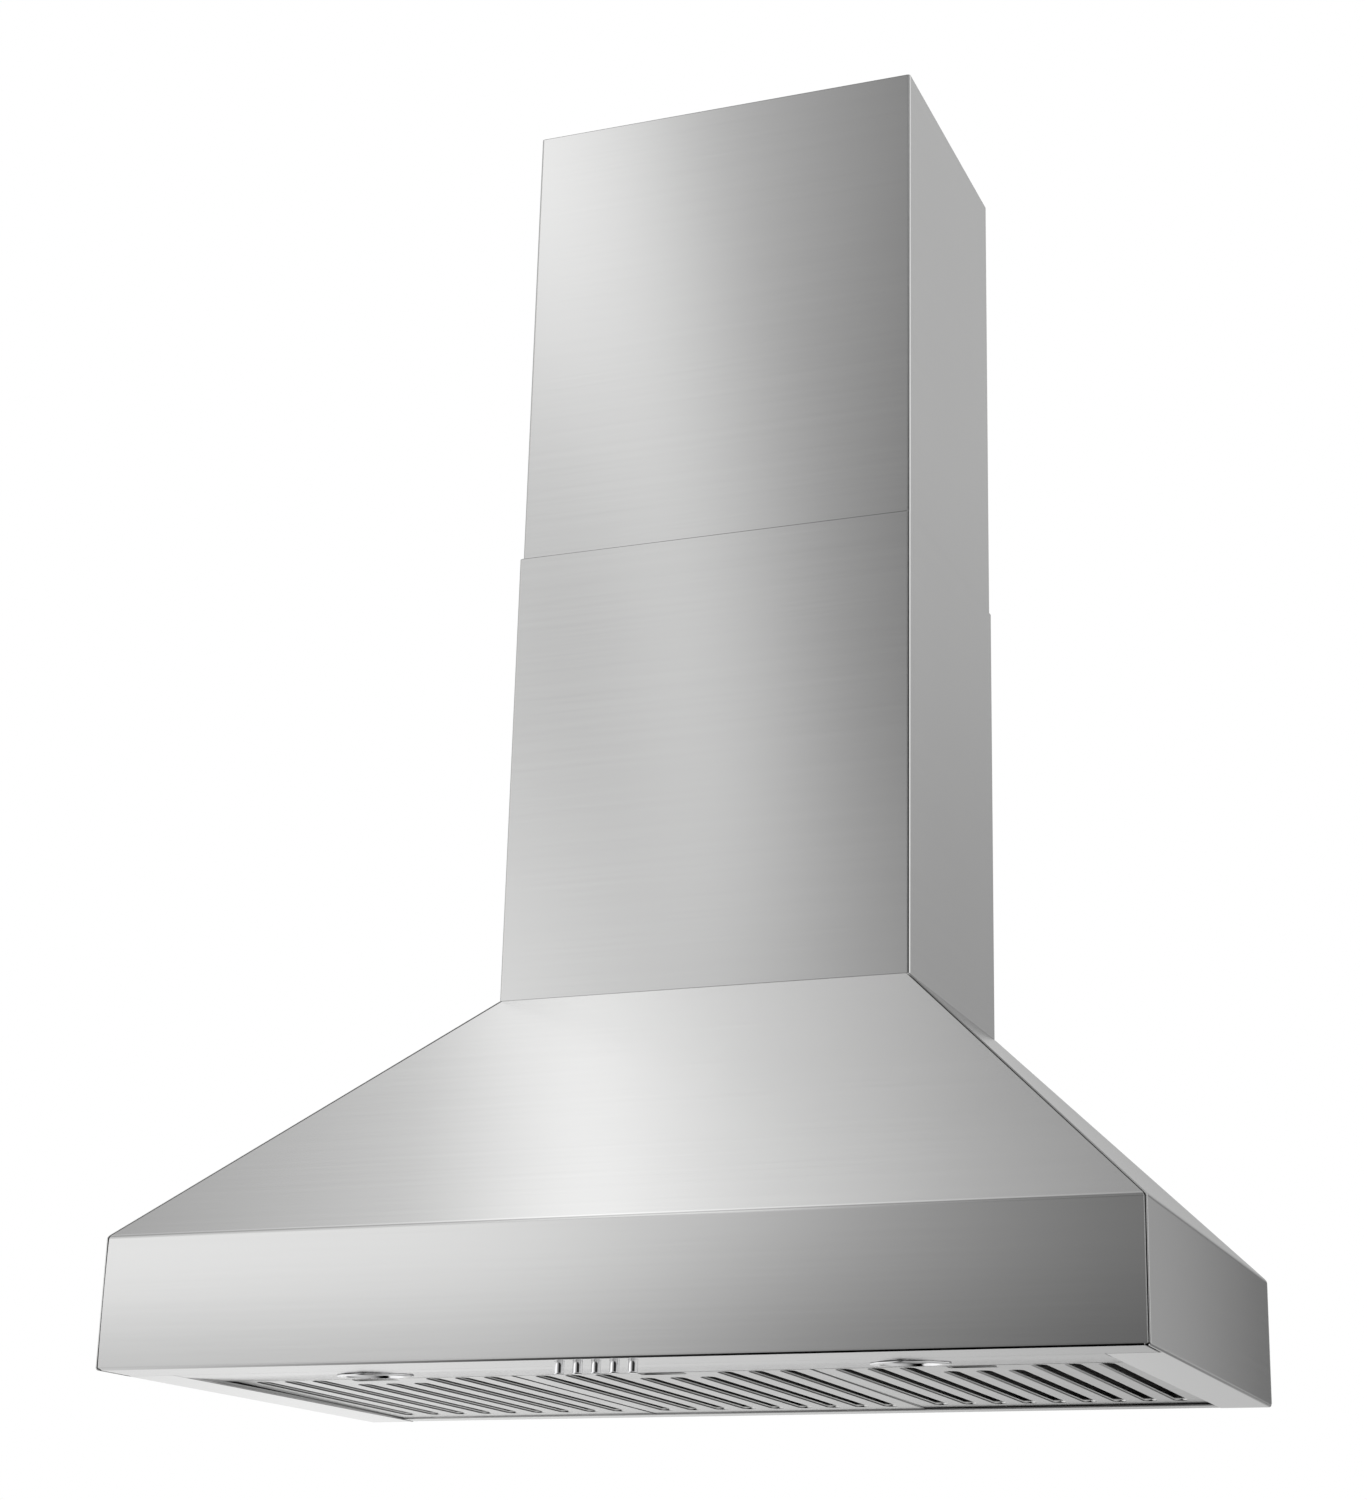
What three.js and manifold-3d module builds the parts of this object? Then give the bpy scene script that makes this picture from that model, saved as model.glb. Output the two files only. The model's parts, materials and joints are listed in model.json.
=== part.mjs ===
// Wall-mounted chimney range hood, as an assembly of separate pieces.
// Millimetres, +Z up, the front faces -Y and the wall is the plane y = 0. Every piece is modelled
// with z = 0 at the canopy's bottom rim, and the whole hood is then set down by the height of its
// hanging slots, so that the origin lies on the wall, on the centreline, between the two slots.

import * as THREE from 'three';
import { mergeVertices } from 'three/addons/utils/BufferGeometryUtils.js';
import Module from 'manifold-3d';

const wasm = await Module();
wasm.setup();

// ---------- driving dimensions ----------

// clearances
const seamGap = 0.3;
const runningGap = 0.3;

// canopy
const hoodWidth = 914;
const hoodDepth = 508;
const bandHeight = 114;
const canopyHeight = 356;
const panelThickness = 1.2;
const frontFlangeDepth = 50;
const sideFlangeWidth = 47;
const rearLedgeDepth = 25;
const hangingHeight = 240;
const hangingSpacing = 240;
const keyholeHeadRadius = 7;
const keyholeSlotRadius = 3.2;
const keyholeSlotLength = 16;
const fixingHoleHeight = 60;
const fixingHoleSpacing = 560;
const fixingHoleRadius = 3.5;

// chimney covers
const chimneyWidth = 400;
const chimneyDepth = 285;
const coverThickness = 1.0;
const coverBendRadius = 2.5;
const coverReturnWidth = 16;
const lowerCoverHeight = 445;
const upperCoverShown = 469;
const coverOverlap = 40;

// ceiling bracket
const bracketThickness = 1.5;
const bracketHeight = 40;
const bracketDrop = 20;
const bracketEarDepth = 50;
const bracketStep = 8;
const bracketHoleRadius = 3;
const bracketHoleSpacing = 260;

// light rail
const railDepth = 100;
const railFlatDepth = 20;
const railRise = 4.3;
const railLipHeight = 20;
const railTongueDepth = 10;

// lamps
const lampSpacing = 480;
const lampSetback = 97;
const lampRingRadius = 33;
const lampRingLip = 6;
const lampRingProud = 2.2;
const lampNeckWall = 2;
const lampNeckHeight = 12;
const lampSeatHeight = 1.2;
const lampSeatWidth = 1;
const lensThickness = 1.6;
const reflectorDepth = 20;
const reflectorWall = 1.2;
const reflectorNeckRadius = 9;
const bulbRadius = 5.5;
const bulbLength = 15;
const lampHolderRadius = 13;
const lampHolderHeight = 16;

// push buttons and their switch block
const buttonCount = 5;
const buttonPitch = 16.1;
const buttonSetback = 17;
const buttonRadius = 4;
const buttonDrop = 10.5;
const buttonTravel = 3.5;
const buttonDome = 1.0;
const buttonCollarRadius = 5.6;
const buttonCollarHeight = 2;
const buttonStemRadius = 2.5;
const buttonStemHeight = 7;
const switchBlockMargin = 10;
const switchBlockDepth = 22;
const switchBlockRoof = 6;

// grease filters
const filterCount = 3;
const filterGap = 1.0;
const filterFrontGap = 1.2;
const filterSheet = 1.0;
const filterWallHeight = 14;
const filterTongueWidth = 44;
const filterTongueDepth = 12;
const filterTongueSpacing = 160;
const slotCount = 9;
const slotWidth = 11;
const slotSideMargin = 18.6;
const slotFrontMargin = 6;
const slotLatchMargin = 39;
const slotRearMargin = 31;
const slotsBesideLatch = 3;
const baffleOverlap = 4.5;
const baffleSheet = 1.0;
const baffleHeight = 8;
const baffleRise = 3;
const baffleBarDepth = 6;
const baffleFootWidth = 8;

// filter latches
const latchRecessWidth = 41;
const latchRecessDepth = 12;
const latchRecessSetback = 4;
const latchHeight = 8;
const latchWall = 2;
const latchBoltWidth = 18;
const latchBoltThickness = 2.5;
const latchBoltReach = 5;

// blower
const blowerTopMargin = 138;
const wheelRadius = 95;
const wheelWidth = 130;
const bladeCount = 24;
const bladeDepth = 16;
const bladeThickness = 1.4;
const bladeLean = 0.1;
const wheelRingHeight = 4;
const wheelRingWidth = 3;
const wheelDiscThickness = 1.6;
const wheelHubRadius = 14;
const wheelHubLength = 26;
const scrollClearance = 8;
const scrollGrowth = 38;
const cutoffAngle = 100;
const scrollSheet = 1.0;
const scrollSideGap = 10;
const scrollFlange = 6;
const inletRadius = 80;
const bellmouthRadius = 6;
const motorRadius = 44;
const motorEdge = 5;
const motorDiscGap = 20;
const shaftRadius = 4;
const shaftGrip = 30;
const motorArmWidth = 12;
const motorBracketThickness = 2;
const motorRingWidth = 9;
const motorBossRadius = 22;

// outlet collar and backdraft dampers
const collarRadius = 75;
const collarWall = 2.5;
const collarHeight = 70;
const collarFlangeWidth = 17;
const collarFlangeThickness = 2.5;
const damperHeight = 28;
const damperThickness = 1.2;
const damperLedgeWidth = 3;
const damperLedgeHeight = 3;
const damperPinRadius = 1.5;
const damperKnuckleWall = 1.6;
const damperKnuckleLength = 16;
const damperKnuckleStart = 14;

// electrical pieces: [width, depth, height] and [x, z] of the middle of the lower edge
const controlBoxSize = [120, 52, 76];
const controlBoxPlace = [250, 150];
const transformerSize = [96, 40, 44];
const transformerPlace = [-255, 128];
const boxChamfer = 3;
const boxEarWidth = 10;
const boxEarThickness = 2;
const capacitorRadius = 17;
const capacitorLength = 62;
const capacitorPlace = [345, 100];
const capacitorFootWidth = 24;
const glandRadius = 9;
const glandNutRadius = 13;
const glandNutHeight = 6;
const glandStemHeight = 14;
const glandBore = 5;
const glandPlace = [130, 50];

// ---------- worked-out sizes and places ----------

const halfWidth = hoodWidth / 2;
const halfChimney = chimneyWidth / 2;
const chimneyMiddle = -chimneyDepth / 2;
const frontFlangeRear = -hoodDepth + frontFlangeDepth;
const sideFlangeEdge = halfWidth - sideFlangeWidth;
const backSheetFront = -panelThickness;
const lowerCoverTop = canopyHeight + lowerCoverHeight;
const upperCoverTop = lowerCoverTop + upperCoverShown;
const railRear = frontFlangeRear + railDepth;
const railSlope = Math.atan2(railRise, railDepth - railFlatDepth);
const filterPitch = (2 * sideFlangeEdge) / filterCount;
const filterWidth = filterPitch - filterGap;
const filterHingeY = -rearLedgeDepth - seamGap;
const filterLength = filterHingeY - railRear - filterFrontGap;
const filterFrontRise = railRise + panelThickness - filterSheet;
const tongueShare = filterTongueDepth / filterLength;
const filterRearRise = (panelThickness + seamGap + tongueShare * filterFrontRise) / (1 + tongueShare);
const filterTilt = -Math.atan2(filterFrontRise - filterRearRise, filterLength);
const slotPitch = (filterWidth - 2 * slotSideMargin - slotWidth) / (slotCount - 1);
const blowerAxisHeight = canopyHeight - blowerTopMargin;
const topPlateUnderside = canopyHeight - panelThickness;
const beyond = 20;

// facets round circles of three sizes
const largeRound = 32;
const mediumRound = 24;
const smallRound = 12;

// ---------- materials ----------

const metal = (color, roughness) => new THREE.MeshStandardMaterial({ color, roughness, metalness: 1 });
const plain = (color, roughness) => new THREE.MeshStandardMaterial({ color, roughness, metalness: 0 });
const clear = (color, opacity) =>
  new THREE.MeshStandardMaterial({ color, opacity, roughness: 0.05, metalness: 0, transparent: true });
const materials = {
  brushedSteel: metal(0xb4b4b2, 0.34),
  filterSteel: metal(0xb9b9b7, 0.3),
  galvanised: metal(0x9a9da0, 0.5),
  chrome: metal(0xdcdcdc, 0.08),
  reflector: metal(0xe0e0e0, 0.15),
  aluminium: metal(0xc4c6c8, 0.35),
  glass: clear(0xf2f5f5, 0.35),
  ceramic: plain(0xe8e4da, 0.6),
  blackPlastic: plain(0x232323, 0.5),
  greyPlastic: plain(0x8b8d8f, 0.5),
  motorPaint: plain(0x3a3c3f, 0.45),
};

// ---------- helpers for solids ----------

// A closed three.js geometry as a solid that can be joined and cut. Triangles that have shrunk to
// a line, as at the poles of a lathe, are left out.
function toSolid(geometry) {
  const bare = geometry.clone();
  bare.deleteAttribute('normal');
  bare.deleteAttribute('uv');
  const merged = mergeVertices(bare, 1e-4);
  const corners = Array.from(merged.index.array);
  const triangles = [];
  for (let i = 0; i < corners.length; i += 3) {
    const triangle = corners.slice(i, i + 3);
    if (new Set(triangle).size === 3) triangles.push(...triangle);
  }
  const mesh = new wasm.Mesh({
    numProp: 3,
    vertProperties: new Float32Array(merged.attributes.position.array),
    triVerts: new Uint32Array(triangles),
  });
  return new wasm.Manifold(mesh);
}

function toGeometry(solid) {
  const mesh = solid.getMesh();
  const geometry = new THREE.BufferGeometry();
  geometry.setAttribute('position', new THREE.BufferAttribute(new Float32Array(mesh.vertProperties), 3));
  geometry.setIndex(new THREE.BufferAttribute(new Uint32Array(mesh.triVerts), 1));
  geometry.computeVertexNormals();
  return geometry;
}

const toShape = (outline) => outline.map(([u, v]) => new THREE.Vector2(u, v));

// An outline in the two coordinates across an axis, carried along that axis from low to high:
// (y, z) along x, (x, z) along y, or (x, y) along z.
function prism(axis, outline, low, high, holes = []) {
  const shape = new THREE.Shape(toShape(outline));
  shape.holes = holes.map((hole) => new THREE.Path(toShape(hole)));
  const geometry = new THREE.ExtrudeGeometry(shape, { depth: high - low, bevelEnabled: false });
  const turn = new THREE.Matrix4();
  if (axis === 'x') turn.set(0, 0, 1, low, 1, 0, 0, 0, 0, 1, 0, 0, 0, 0, 0, 1);
  if (axis === 'y') turn.set(1, 0, 0, 0, 0, 0, -1, high, 0, 1, 0, 0, 0, 0, 0, 1);
  if (axis === 'z') turn.set(1, 0, 0, 0, 0, 1, 0, 0, 0, 0, 1, low, 0, 0, 0, 1);
  return toSolid(geometry.applyMatrix4(turn));
}

function box(x0, x1, y0, y1, z0, z1) {
  const geometry = new THREE.BoxGeometry(x1 - x0, y1 - y0, z1 - z0);
  return toSolid(geometry.translate((x0 + x1) / 2, (y0 + y1) / 2, (z0 + z1) / 2));
}

// A closed profile of [radius, height] turned about an axis through a centre. Wound
// counterclockwise, its faces point outwards.
function turned(axis, profile, segments, centre = [0, 0, 0]) {
  const points = toShape(profile);
  if (THREE.ShapeUtils.area(points) < 0) points.reverse();
  const geometry = new THREE.LatheGeometry([...points, points[0]], segments);
  if (axis === 'z') geometry.rotateX(Math.PI / 2);
  return toSolid(geometry.translate(...centre));
}

// A round bar between two places on an axis through a centre.
function bar(axis, radius, low, high, segments, centre = [0, 0, 0]) {
  const geometry = new THREE.CylinderGeometry(radius, radius, high - low, segments);
  geometry.translate(0, (low + high) / 2, 0);
  if (axis === 'z') geometry.rotateX(Math.PI / 2);
  return toSolid(geometry.translate(...centre));
}

// A solid carried to the place and turn of a group.
function carried(solid, group) {
  group.updateMatrix();
  return toSolid(toGeometry(solid).applyMatrix4(group.matrix));
}

// An open path moved sideways by a distance, to the left of its direction, with mitred corners.
function offsetPath(path, distance) {
  const normals = [];
  for (let i = 0; i + 1 < path.length; i += 1) {
    const along = [path[i + 1][0] - path[i][0], path[i + 1][1] - path[i][1]];
    const length = Math.hypot(...along);
    normals.push([-along[1] / length, along[0] / length]);
  }
  return path.map(([u, v], i) => {
    const before = normals[Math.max(i - 1, 0)];
    const after = normals[Math.min(i, normals.length - 1)];
    const reach = distance / (1 + before[0] * after[0] + before[1] * after[1]);
    return [u + reach * (before[0] + after[0]), v + reach * (before[1] + after[1])];
  });
}

// The outline of a folded sheet: one face on the path, its thickness to the left of it.
const sheet = (path, thickness) => [...path, ...offsetPath(path, thickness).reverse()];

// Points on an arc about a centre, from one angle to another in degrees.
function arc(cu, cv, radius, from, to, steps) {
  return Array.from({ length: steps + 1 }, (_, i) => {
    const angle = THREE.MathUtils.degToRad(from + ((to - from) * i) / steps);
    return [cu + radius * Math.cos(angle), cv + radius * Math.sin(angle)];
  });
}

const circle = (cu, cv, radius, steps) => arc(cu, cv, radius, 0, 360 - 360 / steps, steps - 1);

// A path carried on past its last point.
function extended(path, distance) {
  const end = path[path.length - 1];
  const before = path[path.length - 2];
  const share = distance / Math.hypot(end[0] - before[0], end[1] - before[1]);
  return [...path, [end[0] + (end[0] - before[0]) * share, end[1] + (end[1] - before[1]) * share]];
}

const mirrored = (path) => path.map(([u, v]) => [-u, v]).reverse();

// Places of a row of copies, centred on zero.
const row = (count, pitch) => Array.from({ length: count }, (_, i) => (i - (count - 1) / 2) * pitch);

const hood = new THREE.Group();
hood.position.z = -hangingHeight;

function addPiece(name, solid, material, parent = hood) {
  const mesh = new THREE.Mesh(toGeometry(solid), material);
  mesh.name = name;
  parent.add(mesh);
}

// ---------- canopy ----------

// Outer faces of the front sheet in (y, z) and of the right side sheet in (x, z), each from the
// inner edge of its bottom flange, up the band and the slope, to the foot of the chimney.
const frontPath = [
  [frontFlangeRear, 0],
  [-hoodDepth, 0],
  [-hoodDepth, bandHeight],
  [-chimneyDepth, canopyHeight],
];
const rightPath = [
  [sideFlangeEdge, 0],
  [halfWidth, 0],
  [halfWidth, bandHeight],
  [halfChimney, canopyHeight],
];

// The space behind the front sheet's outer face, drawn in by a depth.
function spaceBehindFront(inset) {
  const inner = offsetPath(extended(frontPath, beyond), -inset);
  const mouth = frontFlangeRear + inset - panelThickness;
  const top = inner[inner.length - 1][1];
  const outline = [[beyond, -beyond], [mouth, -beyond], [mouth, inset], ...inner.slice(1), [beyond, top]];
  return prism('x', outline, -hoodWidth, hoodWidth);
}

// The space between the side sheets' outer faces, drawn in by a depth.
function spaceBetweenSides(inset) {
  const inner = offsetPath(extended(rightPath, beyond), inset);
  const mouth = sideFlangeEdge - inset + panelThickness;
  const right = [[mouth, -beyond], [mouth, inset], ...inner.slice(1)];
  return prism('y', [...right, ...mirrored(right)], -hoodDepth - beyond, beyond);
}

function canopyBlock() {
  const front = [[0, 0], ...frontPath.slice(1), [0, canopyHeight]];
  const sides = [...rightPath.slice(1), ...mirrored(rightPath.slice(1))];
  const alongX = prism('x', front, -hoodWidth, hoodWidth);
  return alongX.intersect(prism('y', sides, -hoodDepth - beyond, beyond));
}

const canopy = canopyBlock();
const innerFace = panelThickness + seamGap;

function makeCanopyFront() {
  let solid = canopy.subtract(spaceBehindFront(panelThickness));
  for (const x of row(buttonCount, buttonPitch)) {
    const place = [x, -hoodDepth + buttonSetback, 0];
    solid = solid.subtract(bar('z', buttonRadius + runningGap, -beyond, beyond, smallRound, place));
  }
  addPiece('canopy_front', solid, materials.brushedSteel);
}

function makeCanopySides() {
  const rear = backSheetFront - seamGap;
  const both = canopy.subtract(spaceBetweenSides(panelThickness)).intersect(spaceBehindFront(innerFace));
  const right = both.intersect(box(0, hoodWidth, -hoodDepth, rear, 0, canopyHeight));
  const left = both.intersect(box(-hoodWidth, 0, -hoodDepth, rear, 0, canopyHeight));
  addPiece('canopy_side_right', right, materials.brushedSteel);
  addPiece('canopy_side_left', left, materials.brushedSteel);
}

// A hanging slot: a round mouth for the screw's head under a narrow slot for its shank.
function keyholeOutline(x) {
  const opening = THREE.MathUtils.radToDeg(Math.acos(keyholeSlotRadius / keyholeHeadRadius));
  const slot = arc(x, hangingHeight, keyholeSlotRadius, 0, 180, 8);
  const head = arc(x, hangingHeight - keyholeSlotLength, keyholeHeadRadius, 180 - opening, 360 + opening, 12);
  return [...slot, ...head];
}

// The flat sheet on the wall, with a ledge along its foot that the filters' tongues rest on.
function makeCanopyBack() {
  const outline = [...rightPath.slice(1), ...mirrored(rightPath.slice(1))];
  const holes = [
    keyholeOutline(hangingSpacing / 2),
    keyholeOutline(-hangingSpacing / 2),
    circle(fixingHoleSpacing / 2, fixingHoleHeight, fixingHoleRadius, smallRound),
    circle(-fixingHoleSpacing / 2, fixingHoleHeight, fixingHoleRadius, smallRound),
  ];
  const back = prism('y', outline, backSheetFront, 0, holes);
  const ledgeEnd = sideFlangeEdge - seamGap;
  const ledge = box(-ledgeEnd, ledgeEnd, -rearLedgeDepth, backSheetFront / 2, 0, panelThickness);
  addPiece('canopy_back', back.add(ledge), materials.brushedSteel);
}

function makeCanopyTop() {
  const rear = backSheetFront - seamGap;
  const slab = box(-hoodWidth, hoodWidth, -hoodDepth, rear, topPlateUnderside, canopyHeight);
  const outlet = bar('z', collarRadius - collarWall, 0, hoodDepth, largeRound, [0, chimneyMiddle, 0]);
  const glandCentre = [glandPlace[0], -glandPlace[1], 0];
  const glandHole = bar('z', glandRadius + seamGap, 0, hoodDepth, smallRound, glandCentre);
  const plate = slab.intersect(spaceBehindFront(innerFace)).intersect(spaceBetweenSides(innerFace));
  addPiece('canopy_top', plate.subtract(outlet).subtract(glandHole), materials.galvanised);
}

// ---------- chimney covers and ceiling bracket ----------

const slideInset = coverThickness + runningGap;

// Outer face of a chimney cover in (x, y): rear return, side, bent corner, front, and mirrored.
function coverPath(inset) {
  const side = halfChimney - inset;
  const front = -chimneyDepth + inset;
  const corner = arc(side - coverBendRadius, front + coverBendRadius, coverBendRadius, 0, -90, 3);
  const right = [[side - coverReturnWidth, -inset], [side, -inset], ...corner];
  return [...right, ...mirrored(right)];
}

function makeChimneyCovers() {
  const lower = sheet(coverPath(0), -coverThickness);
  const upper = sheet(coverPath(slideInset), -coverThickness);
  const lowerSolid = prism('z', lower, canopyHeight, lowerCoverTop);
  const upperSolid = prism('z', upper, lowerCoverTop - coverOverlap, upperCoverTop);
  addPiece('lower_chimney_cover', lowerSolid, materials.brushedSteel);
  addPiece('upper_chimney_cover', upperSolid, materials.brushedSteel);
}

// A folded strap on the wall whose ears hold the upper cover's sides from inside.
function makeCeilingBracket() {
  const ear = halfChimney - slideInset - coverThickness - seamGap;
  const strap = halfChimney - slideInset - coverReturnWidth - seamGap;
  const right = [[ear, -bracketEarDepth], [ear, -bracketStep], [strap, -bracketStep], [strap, 0]];
  const outline = sheet([...right, ...mirrored(right)], bracketThickness);
  const top = upperCoverTop - bracketDrop;
  let solid = prism('z', outline, top - bracketHeight, top);
  for (const x of row(2, bracketHoleSpacing)) {
    const middle = [x, 0, top - bracketHeight / 2];
    solid = solid.subtract(bar('y', bracketHoleRadius, -beyond, beyond, smallRound, middle));
  }
  addPiece('ceiling_bracket', solid, materials.galvanised);
}

// ---------- light rail and lamps ----------

const lampNeckRadius = lampRingRadius - lampRingLip;
const lampGlassRadius = lampNeckRadius - lampNeckWall;

// A place on the sloping part of the light rail: its origin is on the rail's lower face.
function lampSeat(x) {
  const seat = new THREE.Group();
  const run = lampSetback - frontFlangeDepth - railFlatDepth;
  seat.position.set(x, -hoodDepth + lampSetback, run * Math.tan(railSlope));
  seat.rotation.x = railSlope;
  return seat;
}

// The place of a filter: its origin is on the lower rear edge, where the filter swings.
function filterSeat(x) {
  const seat = new THREE.Group();
  seat.position.set(x, filterHingeY, filterRearRise);
  seat.rotation.x = filterTilt;
  return seat;
}

// The rail's front tongue lies on the front flange, and latch bolts enter slots in its rear lip.
function makeLightRail() {
  const front = frontFlangeRear + seamGap;
  const path = [
    [front - railTongueDepth, innerFace],
    [front, innerFace],
    [front, 0],
    [front + railFlatDepth, 0],
    [railRear, railRise],
    [railRear, railRise + railLipHeight],
  ];
  const end = sideFlangeEdge - seamGap;
  let solid = prism('x', sheet(path, panelThickness), -end, end);
  for (const x of row(2, lampSpacing)) {
    const hole = bar('z', lampNeckRadius + seamGap, -beyond, beyond, mediumRound);
    solid = solid.subtract(carried(hole, lampSeat(x)));
  }
  const slotLow = railRise + panelThickness;
  const slotHigh = slotLow + latchBoltThickness + 4 * seamGap;
  const slotHalf = latchBoltWidth / 2 + 2 * seamGap;
  for (const x of row(filterCount, filterPitch)) {
    const slot = box(x - slotHalf, x + slotHalf, railRear - beyond, railRear + beyond, slotLow, slotHigh);
    solid = solid.subtract(slot);
  }
  addPiece('light_rail', solid, materials.brushedSteel);
}

function makeLampRing(name, seat) {
  const opening = lampGlassRadius - lampSeatWidth;
  const profile = [
    [opening + lampRingProud, -lampRingProud],
    [lampRingRadius - 1, -lampRingProud],
    [lampRingRadius, -lampRingProud + 1],
    [lampRingRadius, -seamGap],
    [lampNeckRadius, -seamGap],
    [lampNeckRadius, lampNeckHeight],
    [lampGlassRadius, lampNeckHeight],
    [lampGlassRadius, lampSeatHeight],
    [opening, lampSeatHeight],
    [opening, 0],
  ];
  addPiece(name, turned('z', profile, mediumRound), materials.chrome, seat);
}

// The dished reflector, from its rim on the lens to the neck that the bulb passes through.
function reflectorProfile(low) {
  const rim = lampGlassRadius - seamGap;
  const steps = 3;
  const inner = Array.from({ length: steps + 1 }, (_, i) => {
    const radius = rim - reflectorWall + ((reflectorNeckRadius - rim + reflectorWall) * i) / steps;
    const rise = 1 - ((radius - reflectorNeckRadius) / (rim - reflectorWall - reflectorNeckRadius)) ** 2;
    return [radius, low + reflectorDepth * rise];
  });
  const outer = inner.map(([radius, height]) => [radius + reflectorWall, height]);
  return [...outer, ...inner.reverse()];
}

function makeLamp(side, x) {
  const seat = lampSeat(x);
  hood.add(seat);
  makeLampRing(`lamp_ring_${side}`, seat);
  const lensLow = lampSeatHeight + seamGap;
  const lensHigh = lensLow + lensThickness;
  const glassRadius = lampGlassRadius - seamGap;
  const lens = bar('z', glassRadius, lensLow, lensHigh, mediumRound);
  addPiece(`lamp_lens_${side}`, lens, materials.glass, seat);
  const dishLow = lensHigh + seamGap;
  const dish = turned('z', reflectorProfile(dishLow), mediumRound);
  addPiece(`lamp_reflector_${side}`, dish, materials.reflector, seat);
  const bulbTop = dishLow + reflectorDepth;
  const bulbLow = bulbTop - bulbLength;
  const dome = arc(0, bulbLow + bulbRadius, bulbRadius, -90, 0, 3);
  const bulb = [...dome, [bulbRadius, bulbTop], [0, bulbTop]];
  addPiece(`lamp_bulb_${side}`, turned('z', bulb, smallRound), materials.glass, seat);
  const holderLow = bulbTop + seamGap;
  const holder = bar('z', lampHolderRadius, holderLow, holderLow + lampHolderHeight, smallRound);
  addPiece(`lamp_holder_${side}`, holder, materials.ceramic, seat);
}

// ---------- push buttons ----------

const collarLow = panelThickness + seamGap;
const collarHigh = collarLow + buttonCollarHeight;
const stemTop = collarHigh + buttonStemHeight;
const pocketTop = stemTop + buttonTravel + 2 * seamGap;

function makeButtons() {
  const y = -hoodDepth + buttonSetback;
  const profile = [
    [0, -buttonDrop],
    [buttonRadius * 0.6, -buttonDrop + buttonDome * 0.2],
    [buttonRadius * 0.9, -buttonDrop + buttonDome * 0.6],
    [buttonRadius, -buttonDrop + buttonDome],
    [buttonRadius, collarLow],
    [buttonCollarRadius, collarLow],
    [buttonCollarRadius, collarHigh],
    [buttonStemRadius, collarHigh],
    [buttonStemRadius, stemTop],
    [0, stemTop],
  ];
  row(buttonCount, buttonPitch).forEach((x, i) => {
    addPiece(`button_${i + 1}`, turned('z', profile, smallRound, [x, y, 0]), materials.chrome);
  });
}

function makeSwitchBlock() {
  const y = -hoodDepth + buttonSetback;
  const half = ((buttonCount - 1) * buttonPitch) / 2 + buttonCollarRadius + switchBlockMargin;
  const [front, rear] = [y - switchBlockDepth / 2, y + switchBlockDepth / 2];
  let solid = box(-half, half, front, rear, panelThickness, pocketTop + switchBlockRoof);
  for (const x of row(buttonCount, buttonPitch)) {
    const pocket = bar('z', buttonCollarRadius + seamGap, -beyond, pocketTop, smallRound, [x, y, 0]);
    solid = solid.subtract(pocket);
  }
  addPiece('switch_block', solid, materials.blackPlastic);
}

// ---------- grease filters ----------

// A slot along Y with round ends, as a cutter through the pan's floor.
function slotCutter(x, front, rear) {
  const radius = slotWidth / 2;
  const frontEnd = arc(x, front + radius, radius, 180, 360, 4);
  const rearEnd = arc(x, rear - radius, radius, 0, 180, 4);
  return prism('z', [...frontEnd, ...rearEnd], -beyond, filterSheet + baffleRise / 2);
}

const besideLatch = (index) => index < slotsBesideLatch || index >= slotCount - slotsBesideLatch;
const slotFront = (index) => -filterLength + (besideLatch(index) ? slotFrontMargin : slotLatchMargin);

// A shallow pan: slotted floor, four walls, two tongues behind, a finger recess and a bolt hole.
function filterPan() {
  const half = filterWidth / 2;
  const outer = box(-half, half, -filterLength, 0, 0, filterWallHeight);
  const wall = filterSheet;
  const inner = box(-half + wall, half - wall, -filterLength + wall, -wall, wall, filterWallHeight + beyond);
  let pan = outer.subtract(inner);
  for (const x of row(2, filterTongueSpacing)) {
    const reach = filterTongueWidth / 2;
    pan = pan.add(box(x - reach, x + reach, -wall, filterTongueDepth, 0, wall));
  }
  row(slotCount, slotPitch).forEach((x, i) => {
    pan = pan.subtract(slotCutter(x, slotFront(i), -slotRearMargin));
  });
  const recessFront = -filterLength + latchRecessSetback;
  const recessHalf = latchRecessWidth / 2;
  const recess = box(-recessHalf, recessHalf, recessFront, recessFront + latchRecessDepth, -beyond, wall);
  const boltHalf = latchBoltWidth / 2 + seamGap;
  const boltTop = filterSheet + latchBoltThickness + 2 * seamGap;
  const boltHole = box(-boltHalf, boltHalf, -filterLength - beyond, -filterLength + wall, wall, boltTop);
  return pan.subtract(recess).subtract(boltHole);
}

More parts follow.
